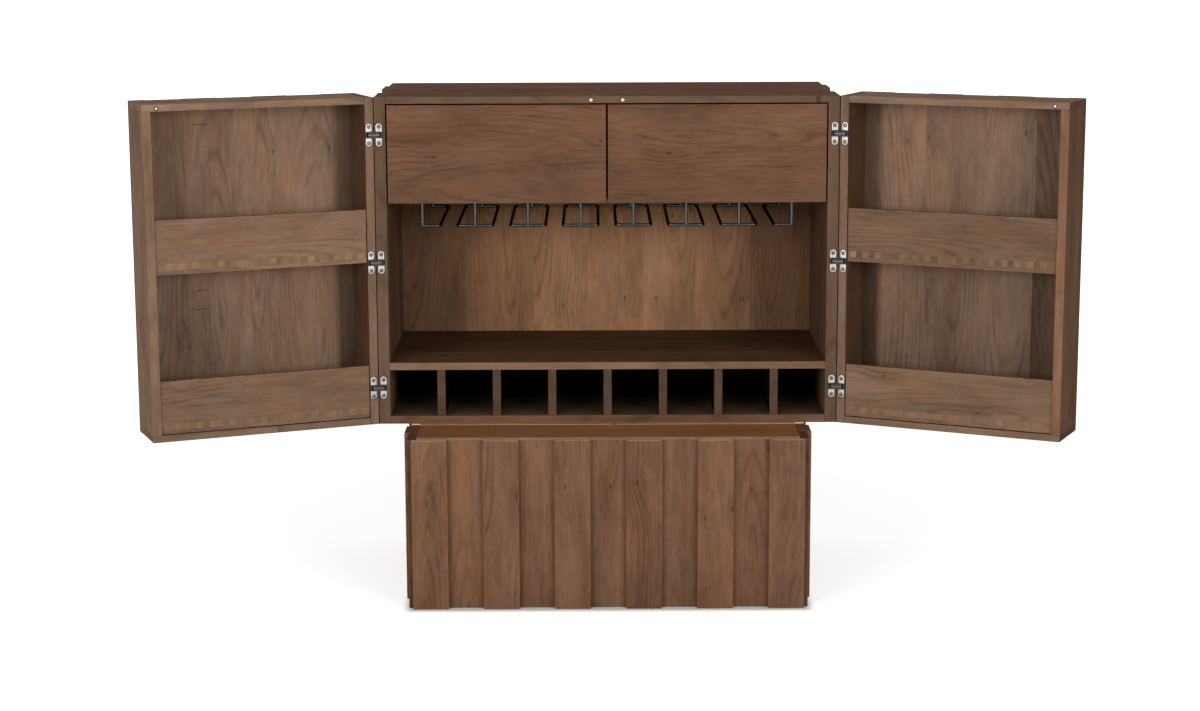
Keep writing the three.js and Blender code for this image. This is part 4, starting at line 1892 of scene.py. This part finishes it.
@dataclass
class BoxDoor:
    """One deep box door, drawn closed about its hinge line and turned to stand open.

    X grows from the hinge line towards the meeting edge in the door's own frame.
    """

    palette: Palette
    case: CaseSizes
    hinge: HingeSizes
    side: Side
    open_degrees: float
    inner_edges: tuple[float, ...]
    inner_shades: tuple[float, ...]
    depth: float = 130.0
    panel_board: float = 24.0
    panel_recess: float = 8.0
    inner_board: float = 10.0
    inner_tone: float = 0.5
    top_tone: float = 0.8
    bottom_tone: float = 0.42
    hinge_tone: float = 0.4
    side_board: float = 18.0
    end_board: float = 14.0
    rim_gap: float = 1.2
    hinge_inset: float = 0.4
    meeting_gap: float = 3.0
    front_slats: int = 13
    rail_height: float = 111.0
    rail_board: float = 14.0
    tray_board: float = 13.0
    tray_lift: float = 9.0
    tray_setback: float = 3.0
    finger: float = 13.5
    finger_depth: float = 2.0
    finger_proud: float = 0.05
    finger_strength: tuple[float, float] = (0.4, 1.0)
    finger_rise: float = 0.28
    pale_fingers: tuple[float, float] = (-0.16, 0.08)
    dark_fingers: tuple[float, float] = (-0.34, -0.1)
    rail_ends: tuple[float, float] = (0.5, 0.2)
    rail_gap: tuple[float, float] = (1.5, 0.0)
    strip_inset: tuple[float, float] = (1.0, 1.5)
    strip_rise: float = 2.0
    strike_x: float = 451.0
    strike_z: float = 1042.0
    strike_diameter: float = 8.5
    hinge_rim: float = -0.05
    hinge_corner: float = -0.35
    hinge_lip: tuple[float, float] = (-0.78, -1.9)
    saw_marks: tuple[tuple[float, float, float], ...] = ()
    saw_halves: tuple[float, float] = (0.6, 0.4)
    saw_depth: float = 1.0
    rail_tones: tuple[float, float] = (0.5, 0.5)
    free_tone: float = 0.5
    dark_end: bool = False
    hinge_line: float = 1.0
    # Painted shadow of the hinge board on the inner face, and where it fades out.
    hinge_shade: float = -0.55
    hinge_shade_reach: tuple[float, float] = (46.0, 62.0)
    # Painted shade on the inner face below the upper tray, at the bottom and at the tray.
    low_shade: tuple[float, float] = (-0.1, -0.1)
    shade_edge: float = 6.0

    def __post_init__(self) -> None:
        """Works out the levels that the boards share, and the door's placing."""
        self.rim = -self.rim_gap / 2
        self.outer = self.rim - self.depth
        self.panel_inner = self.outer + self.panel_board
        self.meeting = self.case.half - self.meeting_gap / 2
        self.hinge_end = self.hinge_inset + self.side_board
        self.low = self.case.under + self.end_board
        self.high = self.case.top - self.end_board
        sign = self.side.value
        self.swing = (
            Matrix.Translation((sign * self.case.half, self.case.front + self.rim, 0))
            @ Matrix.Rotation(math.radians(sign * self.open_degrees), 4, "Z")
        )
        self.placing = self.swing @ Matrix.Diagonal((-sign, 1, 1, 1))

    def finish(self, timber: Timber, slot: Finish, node: str) -> bpy.types.Object:
        """Places a piece of the door and settles it.

        Args:
            timber: The piece's boards, in the door's own frame.
            slot: The finish that names its slot.
            node: The end of the name of the node that it replaces.

        Returns:
            The piece.
        """
        label = self.side.label
        return settle(timber.build(self.placing), f"{label}_door", slot, f"{label}_door_{node}")

    def build(self) -> None:
        """Builds every piece of the door."""
        self.build_panel()
        self.build_ends()
        self.build_hinge_side()
        self.build_free_side()
        middle = (self.case.under + self.case.top) / 2
        self.build_tray("lower", self.low + self.case.seam)
        self.build_tray("upper", middle)

    def timber(self, name: str, *finishes: Finish) -> Timber:
        """Starts a piece of this door.

        Args:
            name: The end of its name.
            finishes: Its finishes.

        Returns:
            The empty piece.
        """
        return Timber(f"{self.side.label}_door_{name}", [self.palette[f] for f in finishes])

    def at_end(self, centre: Vector, normal: Vector) -> bool:
        """Says whether a face is a darkened one at the meeting edge."""
        return self.dark_end and normal.x > FACING and centre.x > self.meeting - 1

    def build_panel(self) -> None:
        """Builds the panel: thick and thin slats outside, wider boards inside."""
        timber = self.timber("slats", Finish.DOOR, Finish.GAP, Finish.INNER)
        behind = self.panel_inner - self.inner_board
        tray = (self.case.under + self.case.top) / 2
        width = 2 * self.case.half / self.front_slats
        whole = int(self.case.half // width)
        edges = [self.hinge_inset, *(width * (i + 1) for i in range(whole)), self.meeting]
        for i, (start, end) in enumerate(zip(edges, edges[1:])):
            face = self.outer + (self.panel_recess if i % 2 else 0)
            timber.add(Board(
                (start, face, self.case.under), (end, behind, self.case.top), Axis.Z, ease=0.5,
                chooser=lambda centre, normal: 2 if self.at_end(centre, normal) else 0,
                stays=lambda middle: abs(middle.y - behind) < 0.01,
            ))

        def groove(centre: Vector, normal: Vector) -> int:
            """Paints shade in the saw marks' grooves.

            Args:
                centre: A face's middle.
                normal: Its normal.

            Returns:
                The number of its finish.
            """
            if self.at_end(centre, normal):
                return 2
            deep = self.panel_inner - centre.y
            return 1 if 0.2 < deep < self.saw_depth + 0.2 else 0

        def stained(corner: Vector, normal: Vector, shade: float) -> float:
            """Paints the hinge board's shadow on the inner face, and shade below the upper tray.

            Args:
                corner: A face's corner.
                normal: The face's normal.
                shade: What is added all over the board's inner face.

            Returns:
                What is added to the level there.
            """
            if normal.y < FACING:
                return 0.0
            low, high = self.low_shade
            is_below = corner.z < tray + self.shade_edge / 2
            below = (low + (high - low) * ramp(corner.z, self.low, tray)) * is_below
            return shade + below + self.hinge_shade * (1 - ramp(corner.x, *self.hinge_shade_reach))

        splits = [(Axis.Z, tray), (Axis.Z, tray + self.shade_edge)]
        splits += [(Axis.X, x) for x in self.hinge_shade_reach]
        edges = [self.hinge_inset, *self.inner_edges, self.meeting]
        for start, end, shade in zip(edges, edges[1:], self.inner_shades):
            marks = [mark for mark in self.saw_marks if start < mark[0] < end]
            timber.add(Board(
                (start, behind, self.case.under), (end, self.panel_inner, self.case.top), Axis.Z,
                tone=self.inner_tone, ease=0.0, chooser=groove, splits=splits,
                cutters=[lambda mark=mark: self.saw_mark(*mark) for mark in marks],
                shade=lambda corner, normal, shade=shade: stained(corner, normal, shade),
            ))
        self.finish(timber, Finish.DOOR, "panel")

    def saw_mark(self, start: float, end: float, z: float) -> bmesh.types.BMesh:
        """Shapes one shallow saw mark, to be cut from the inner face.

        Args:
            start: Where it starts along X.
            end: Where it ends, a little narrower.
            z: Its height.

        Returns:
            The cutter.
        """
        wide, narrow = self.saw_halves
        flat = [(start, z - wide), (end, z - narrow), (end, z + narrow), (start, z + wide)]
        return prism(flat, Axis.Y, self.panel_inner - self.saw_depth, self.panel_inner + PAST)

    def strike_disc(self, wider: float, deep: float, shallow: float) -> bmesh.types.BMesh:
        """Shapes a disc round the strike's axis.

        Args:
            wider: How much the disc's radius is more than the strike's.
            deep: How deep in the rim it ends.
            shallow: How deep in the rim it starts.

        Returns:
            The disc.
        """
        outline = circle((self.strike_x, self.strike_z), self.strike_diameter / 2 + wider, 20)
        return prism(outline, Axis.Y, self.rim - deep, self.rim - shallow)

    def build_ends(self) -> None:
        """Builds the top with its strike, and the bottom board."""
        seam = self.case.seam
        xs = (self.hinge_end + seam, self.meeting)
        ys = (self.panel_inner + seam, self.rim)

        top = self.timber("top_board", Finish.DOOR, Finish.BLACKED, Finish.PLATED, Finish.INNER)
        top.add(Board(
            (xs[0], ys[0], self.high), (xs[1], ys[1], self.case.top), Axis.X,
            tone=self.top_tone, cutters=[lambda: self.strike_disc(0.3, 4, -PAST)],
            chooser=lambda centre, normal: 3 if self.at_end(centre, normal) else 0,
        ))
        # Behind the strike's button a dark ring: painted shade in its pocket.
        top.add_fitting(self.strike_disc(0, 3.6, 0.9), 1)
        button = self.strike_disc(-1.8, 3, 0.1)
        ease_edges(button, 0.7, 3)
        top.add_fitting(button, 2)
        self.finish(top, Finish.DOOR, "top")

        bottom = self.timber("bottom_board", Finish.DOOR, Finish.INNER)
        bottom.add(Board(
            (xs[0], ys[0], self.case.under), (xs[1], ys[1], self.low), Axis.X,
            tone=self.bottom_tone,
            chooser=lambda centre, normal: 1 if self.at_end(centre, normal) else 0,
        ))
        self.finish(bottom, Finish.DOOR, "bottom")

    def build_hinge_side(self) -> None:
        """Builds the board that the hinges are let into."""
        timber = self.timber("hinge_board", Finish.DOOR, Finish.INNER, Finish.GAP)
        mortises = [
            cutter
            for z in self.hinge.heights(self.case).values()
            for cutter in self.hinge.mortise(self.hinge.edge_distance, z, self.hinge_rim, -1)
        ]

        def inner(centre: Vector, normal: Vector) -> int:
            """Paints shade on the face towards the trays, in the mortises and on the hinge line.

            Args:
                centre: A face's middle.
                normal: Its normal.

            Returns:
                The number of its finish.
            """
            deep = self.hinge_rim - centre.y
            in_mortise = 0.2 < deep < self.hinge.cavity + 1
            if in_mortise or (normal.y > FACING and centre.x < self.hinge_line):
                return 2
            return 1 if normal.x > FACING and centre.x > self.hinge_end - 1 else 0

        corner, back = self.hinge_corner, self.panel_inner + self.case.seam
        outline = [
            (self.hinge_inset, back), (self.hinge_end, back), (self.hinge_end, self.hinge_rim),
            (corner, self.hinge_rim), (corner, self.hinge_lip[0]),
            (self.hinge_inset, self.hinge_lip[1]),
        ]

        def in_lip(middle: Vector) -> bool:
            """Says whether an edge belongs to the lip, which stays sharp."""
            return middle.x < self.hinge_inset + 0.01 and middle.y > self.hinge_lip[1] - 0.01

        timber.add(Board(
            (corner, back, self.case.under), (self.hinge_end, self.hinge_rim, self.case.top),
            Axis.Z, outline=outline, cutters=mortises, tone=self.hinge_tone, chooser=inner,
            splits=[(Axis.X, self.hinge_line)], stays=in_lip,
        ))
        self.finish(timber, Finish.DOOR, "hinge_side")

    def build_free_side(self) -> None:
        """Builds the board at the meeting edge."""
        seam = self.case.seam
        outer = Finish.BASE if self.dark_end else Finish.DOOR
        timber = self.timber("free_board", outer, Finish.INNER)
        timber.add(Board(
            (self.meeting - self.side_board, self.panel_inner + seam, self.low + seam),
            (self.meeting, self.rim, self.high - seam), Axis.Z, tone=self.free_tone,
            chooser=lambda centre, normal: 1 if self.at_end(centre, normal) else 0,
        ))
        self.finish(timber, Finish.DOOR, "free_side")

    def finger_changes(self, place: str, count: int) -> list[float]:
        """Draws how a tray's fingers differ from their rail, pale and dark in turn.

        Args:
            place: The tray's name.
            count: How many fingers show.

        Returns:
            What is added to the rail's tone, at full strength.
        """
        draw = random.Random(f"{self.side.label} {place} fingers")
        changes = []
        for i in range(count):
            if i % 2:
                changes.append(draw.uniform(*self.dark_fingers))
            else:
                rise = self.finger_rise * (2 * i / count - 1) ** 2
                changes.append(rise + draw.uniform(*self.pale_fingers))
        return changes

    def build_tray(self, place: str, under: float) -> None:
        """Builds a tray: a rail with the fingers of its bottom board showing.

        Args:
            place: The tray's name.
            under: The height of its lower edge.
        """
        seam = self.case.seam
        timber = self.timber(f"{place}_tray_boards", Finish.TRAY, Finish.END_GRAIN, Finish.GAP)
        xs = (self.hinge_end + seam, self.meeting - self.side_board - seam)
        face = self.rim - self.tray_setback
        floor = under + self.tray_lift
        row = int(place == "upper")
        tone, gap, strength = self.rail_tones[row], self.rail_gap[row], self.finger_strength[row]
        left, right = xs[0] + self.rail_ends[0], xs[1] - self.rail_ends[1]
        timber.add(Board(
            (left, face - self.rail_board, under + gap), (right, face, under + self.rail_height),
            Axis.X, ease=0.8, tone=tone,
        ))
        # A near-black strip fills the gap under the lower rail: painted shadow.
        if gap:
            behind, before = self.strip_inset
            timber.add(Board(
                (left, face - self.rail_board + behind, under),
                (right, face - before, under + gap + self.strip_rise),
                Axis.X, ease=0, finish=2, tone=0.5,
            ))
        timber.add(Board(
            (xs[0], self.panel_inner + seam, floor),
            (xs[1], face - self.rail_board, floor + self.tray_board), Axis.X,
        ))
        count = int((xs[1] - xs[0] - 4) // self.finger)
        start = xs[0] + (xs[1] - xs[0] - count * self.finger) / 2
        for i, change in enumerate(self.finger_changes(place, count)):
            left = start + i * self.finger
            timber.add(Board(
                (left, face - self.finger_depth, floor),
                (left + self.finger, face + self.finger_proud, floor + self.tray_board),
                Axis.Y, ease=0.1, segments=1, finish=1, tone=tone + strength * change,
            ))
        self.finish(timber, Finish.TRAY, f"{place}_tray")


@dataclass
class ConcealedHinge:
    """One concealed hinge: a leaf in the case, a leaf in the door and the links between."""

    palette: Palette
    case: CaseSizes
    sizes: HingeSizes
    door: BoxDoor
    place: str
    height: float
    screw_diameter: float = 7.0
    screw_play: float = 0.8
    link_width: float = 4.2
    link_height: float = 1.9
    link_pitch: float = 2.2
    link_deep: float = 9.0
    link_out: float = 3.4
    link_crown: float = 1.6
    bend_steps: int = 8
    links: int = 5

    def build(self) -> None:
        """Builds both leaves and the links."""
        sign, edge = self.door.side.value, self.sizes.edge_distance
        case_place = Matrix.Translation(
            (sign * (self.case.half - edge), self.case.front, self.height)
        )
        door_place = (
            self.door.swing
            @ Matrix.Translation((-sign * edge, self.door.hinge_rim, self.height))
            @ Matrix.Rotation(math.pi, 4, "Z")
        )
        self.build_leaf("case", "cabinet", case_place)
        self.build_leaf("door", f"{self.door.side.label}_door", door_place)
        self.build_links(case_place, door_place)

    def build_leaf(self, part: str, body: str, place: Matrix) -> None:
        """Builds one leaf, places it and settles it.

        Args:
            part: What it is let into, the case or the door.
            body: The body that it rides on.
            place: Where it lies.
        """
        label = self.door.side.label
        leaf = self.leaf(f"{label}_{part}_plate_{self.place}").build(place)
        leaf.data.set_sharp_from_angle(angle=SHARP_PLATE)
        settle(leaf, body, Finish.ZINC, f"{label}_{part}_leaf_{self.place}")

    @staticmethod
    def disc(z: float, radius: float, near: float, far: float) -> bmesh.types.BMesh:
        """Shapes a disc round a screw's axis."""
        return prism(circle((0, z), radius, 24), Axis.Y, near, far)

    def leaf(self, name: str) -> Timber:
        """Builds a leaf with its housing and screws, its face at zero and towards -Y.

        Args:
            name: The piece's name.

        Returns:
            The leaf.
        """
        s = self.sizes
        slots = (Finish.ZINC, Finish.BLACKED, Finish.SCREW)
        timber = Timber(name, [self.palette[slot] for slot in slots])
        plate = prism(stadium((0, 0), s.length, s.width), Axis.Y, 0, s.thickness)
        ease_edges(plate, 0.5, 2)
        screws = (-s.screw_spacing / 2, s.screw_spacing / 2)
        radius = self.screw_diameter / 2
        hole = radius + self.screw_play
        waist = block(0, 0, s.width, s.body_height / 2)
        cutters = [prism(waist, Axis.Y, -PAST, s.thickness + PAST)]
        cutters += [self.disc(z, hole, -PAST, s.thickness - 0.6) for z in screws]
        timber.add_fitting(carve(plate, cutters), 0, smooth=True)
        # A dark disc in each screw hole: painted shade in the ring round the screw head.
        for z in screws:
            timber.add_fitting(self.disc(z, hole - 0.05, s.thickness - 1, s.thickness - 0.5), 1)

        self.add_housing(timber)
        for z in screws:
            head = self.disc(z, radius, 0.25, s.thickness - 0.7)
            ease_edges(head, 0.5, 2)
            bars = [
                prism(block(0, z, wide, tall), Axis.Y, -PAST, 1.3)
                for wide, tall in ((0.5, 2.1), (2.1, 0.5))
            ]
            timber.add_fitting(carve(head, bars), 2, smooth=True)
        return timber

    def add_housing(self, timber: Timber) -> None:
        """Adds the black block between a leaf's ends, and the housing behind it: painted shade in
        the leaf's recess.

        Args:
            timber: The leaf.
        """
        s = self.sizes
        body = prism(
            block(0, 0, s.width / 2 - 0.15, s.body_height / 2 - 0.1), Axis.Y, 0.25, s.thickness,
        )
        ease_edges(body, 0.3, 1)
        mouth = stadium((0, 0), s.body_height - 1.6, s.slot_width)
        timber.add_fitting(carve(body, [prism(mouth, Axis.Y, -PAST, s.thickness + PAST)]), 1)
        shell = stadium((0, 0), s.slot_length - 0.1, s.slot_width - 0.1)
        hollow = stadium((0, 0), s.body_height - 1.6, s.slot_width - 1.8)
        timber.add_fitting(carve(
            prism(shell, Axis.Y, s.thickness, s.cavity - 0.5),
            [prism(hollow, Axis.Y, 0, s.cavity - 1.5)],
        ), 1)

    def build_links(self, case_place: Matrix, door_place: Matrix) -> None:
        """Builds the stacked link plates that bridge the two leaves.

        Args:
            case_place: Where the case leaf lies.
            door_place: Where the door leaf lies.
        """
        label = self.door.side.label
        root, tip = Vector((0, self.link_deep, 0)), Vector((0, -self.link_out, 0))
        ends = (case_place @ root, case_place @ tip, door_place @ tip, door_place @ root)
        a, b, c, d = [end.to_2d() for end in ends]
        crown = (b + c) / 2 + Vector((0, -self.link_crown))
        path = [a, a.lerp(b, 0.5), b]
        for i in range(1, self.bend_steps):
            t = i / self.bend_steps
            path.append(b * (1 - t) ** 2 + crown * 2 * t * (1 - t) + c * t**2)
        path += [c, c.lerp(d, 0.5), d]
        half = self.link_width / 2
        left, right = [], []
        for i, point in enumerate(path):
            run = (path[min(i + 1, len(path) - 1)] - path[max(i - 1, 0)]).normalized()
            side = Vector((-run.y, run.x)) * half
            left.append(tuple(point + side))
            right.append(tuple(point - side))
        outline = left + right[::-1]
        finishes = [self.palette[f] for f in (Finish.BLACKED, Finish.SCREW)]
        timber = Timber(f"{label}_hinge_links_{self.place}", finishes)
        first = self.height - (self.links - 1) / 2 * self.link_pitch
        for i in range(self.links):
            z = first + i * self.link_pitch
            mesh = prism(outline, Axis.Z, z - self.link_height / 2, z + self.link_height / 2)
            timber.add_fitting(mesh, 1 if 2 * i == self.links - 1 else 0)
        piece = timber.build()
        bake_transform(piece)
        LOG.info("%s bends between cabinet and %s_door", piece.name, label)


# The studio


@dataclass
class Studio:
    """A pale floor, a white surround, soft lamps and the camera."""

    floor_size: float = 90.0
    # The glow next to the base, and how far out it fades in: a painted contact shadow.
    contact_glow: float = 0.0
    contact_reach: float = 0.028
    near_glow: float = 0.62
    far_glow: float = 1.0
    floor_share: float = 0.9
    unseen_share: float = 0.62
    glow_reach: tuple[float, float] = (0.9, 3.5)
    footprint: Point = (0.4055, 0.282, 1.0)
    ambient: float = 0.38
    lens: float = 73.74
    lamps: tuple[tuple[str, Point, float], ...] = (
        ("lamp_left", (-3.6, -5.4, 1.7), 188), ("lamp_right", (3.6, -5.4, 1.7), 181),
    )
    lamp_size: Plan = (3.4, 2.0)
    lamp_aim: Point = (0.0, 0.0, 0.65)
    camera_place: Point = (-0.03256, -5.2080, 1.4434)
    camera_yaw: float = -0.189
    camera_pitch: float = -10.442
    camera_roll: float = 0.186

    def build(self) -> None:
        """Builds the studio."""
        self.build_world()
        self.build_floor()
        self.build_lamps()
        self.build_camera()

    @staticmethod
    def seen(g: Graph) -> bpy.types.NodeSocket:
        """Tells rays that show the surround from rays that light the object.

        Args:
            g: The graph of the world or of the floor.

        Returns:
            1 for camera, glossy and transmission rays.
        """
        path = g.add("LightPath").outputs
        seen = g.math("MAXIMUM", path["Is Camera Ray"], path["Is Glossy Ray"])
        return g.math("MAXIMUM", seen, path["Is Transmission Ray"])

    def build_world(self) -> None:
        """Makes the surround white to look at and mild as a light."""
        world = bpy.data.worlds.new("studio")
        world.use_nodes = True
        bpy.context.scene.world = world
        g = Graph(world.node_tree)
        sky = world.node_tree.nodes["Background"]
        sky.inputs["Color"].default_value = (1, 1, 1, 1)
        strength = g.math("MULTIPLY_ADD", self.seen(g), 1 - self.ambient, self.ambient)
        g.feed(strength, sky.inputs["Strength"])

    def build_floor(self) -> None:
        """Makes the floor, white to look at except in the armoire's shadow and in a painted contact
        shadow round the base.
        """
        material = bpy.data.materials.new("studio_floor")
        material.use_nodes = True
        tree = material.node_tree
        tree.nodes.clear()
        g = Graph(tree)
        pale = g.add("BsdfDiffuse", {"Color": (*(self.unseen_share,) * 3, 1)}).outputs[0]
        lit = g.add("BsdfDiffuse", {"Color": (*(self.floor_share,) * 3, 1)}).outputs[0]
        place = g.add("NewGeometry").outputs["Position"]
        distance = g.add("VectorMath", {0: place}, operation="LENGTH").outputs["Value"]
        outside = g.vector("SUBTRACT", g.vector("ABSOLUTE", place), self.footprint)
        outside = g.vector("MAXIMUM", outside, (0.0, 0.0, 0.0))
        clear = g.add("VectorMath", {0: outside}, operation="LENGTH").outputs["Value"]
        # Near the base's footprint the glow fades out: a painted contact shadow.
        near = g.math(
            "MULTIPLY_ADD", g.step(clear, 0.0, self.contact_reach),
            self.near_glow - self.contact_glow, self.contact_glow,
        )
        rise = g.math(
            "MULTIPLY", g.step(distance, *self.glow_reach), self.far_glow - self.near_glow,
        )
        strength = g.math("ADD", near, rise)
        glow = g.add("Emission", {"Color": (1, 1, 1, 1), "Strength": strength}).outputs[0]
        shown = g.add("AddShader", {0: lit, 1: glow}).outputs[0]
        mixed = g.add("MixShader", {0: self.seen(g), 1: pale, 2: shown}).outputs[0]
        g.feed(mixed, g.add("OutputMaterial").inputs["Surface"])
        half = self.floor_size / 2
        data = bpy.data.meshes.new("studio_floor")
        corners = [(x, y, 0) for x, y in block(0, 0, half, half)]
        data.from_pydata(corners, [], [(0, 1, 2, 3)])
        data.materials.append(material)
        floor = bpy.data.objects.new("studio_floor", data)
        bpy.context.scene.collection.objects.link(floor)

    def build_lamps(self) -> None:
        """Sets a soft lamp on each side, in front of the armoire and facing its middle."""
        for name, place, watts in self.lamps:
            data = bpy.data.lights.new(name, "AREA")
            data.shape, data.energy = "RECTANGLE", watts
            data.size, data.size_y = self.lamp_size
            lamp = bpy.data.objects.new(name, data)
            lamp.location = place
            aim = Vector(self.lamp_aim) - Vector(place)
            lamp.rotation_euler = aim.to_track_quat("-Z", "Y").to_euler()
            bpy.context.scene.collection.objects.link(lamp)

    def build_camera(self) -> None:
        """Sets the camera at the photograph's viewpoint."""
        data = bpy.data.cameras.new("camera")
        data.sensor_width, data.lens = 36.0, self.lens
        data.clip_end = 200
        camera = bpy.data.objects.new("camera", data)
        turn = (
            Matrix.Rotation(math.radians(self.camera_yaw), 3, "Z")
            @ Matrix.Rotation(math.radians(self.camera_pitch), 3, "X")
            @ Matrix.Rotation(math.radians(self.camera_roll), 3, "Y")
        )
        right, forward, up = turn.col
        basis = Matrix((right, up, -forward)).transposed().to_4x4()
        camera.matrix_world = Matrix.Translation(self.camera_place) @ basis
        bpy.context.scene.collection.objects.link(camera)
        bpy.context.scene.camera = camera


def main() -> None:
    """Builds the armoire around the frame, then the studio."""
    logging.basicConfig(level=logging.INFO, format="%(message)s")
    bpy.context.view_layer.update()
    bpy.context.scene.view_settings.view_transform = "Standard"
    palette = Palette()
    case, hinge = CaseSizes(), HingeSizes()
    doors = [
        BoxDoor(
            palette, case, hinge, Side.LEFT, 157.6,
            (182.0, 267.0, 372.0), (0.12, 0.2, 0.08, 0.1),
            rail_tones=(0.42, 0.6), free_tone=0.47, low_shade=(-0.22, -0.04),
            saw_marks=((324.0, 359.0, 998.0), (335.0, 358.0, 654.0), (334.0, 359.5, 614.0)),
        ),
        BoxDoor(
            palette, case, hinge, Side.RIGHT, 154.4,
            (152.0, 280.0, 386.0), (0.18, 0.04, 0.2, -0.16),
            rail_tones=(0.47, 0.31), free_tone=0.66, dark_end=True, low_shade=(-0.44, -0.24),
        ),
    ]
    SlattedBase(palette, case).build()
    Case(palette, case, hinge).build()
    StemwareRails(palette, case).build()
    Drawers(palette, case).build()
    for door in doors:
        door.build()
        for place, height in hinge.heights(case).items():
            ConcealedHinge(palette, case, hinge, door, place, height).build()
    Studio().build()


if __name__ == "__main__":
    main()
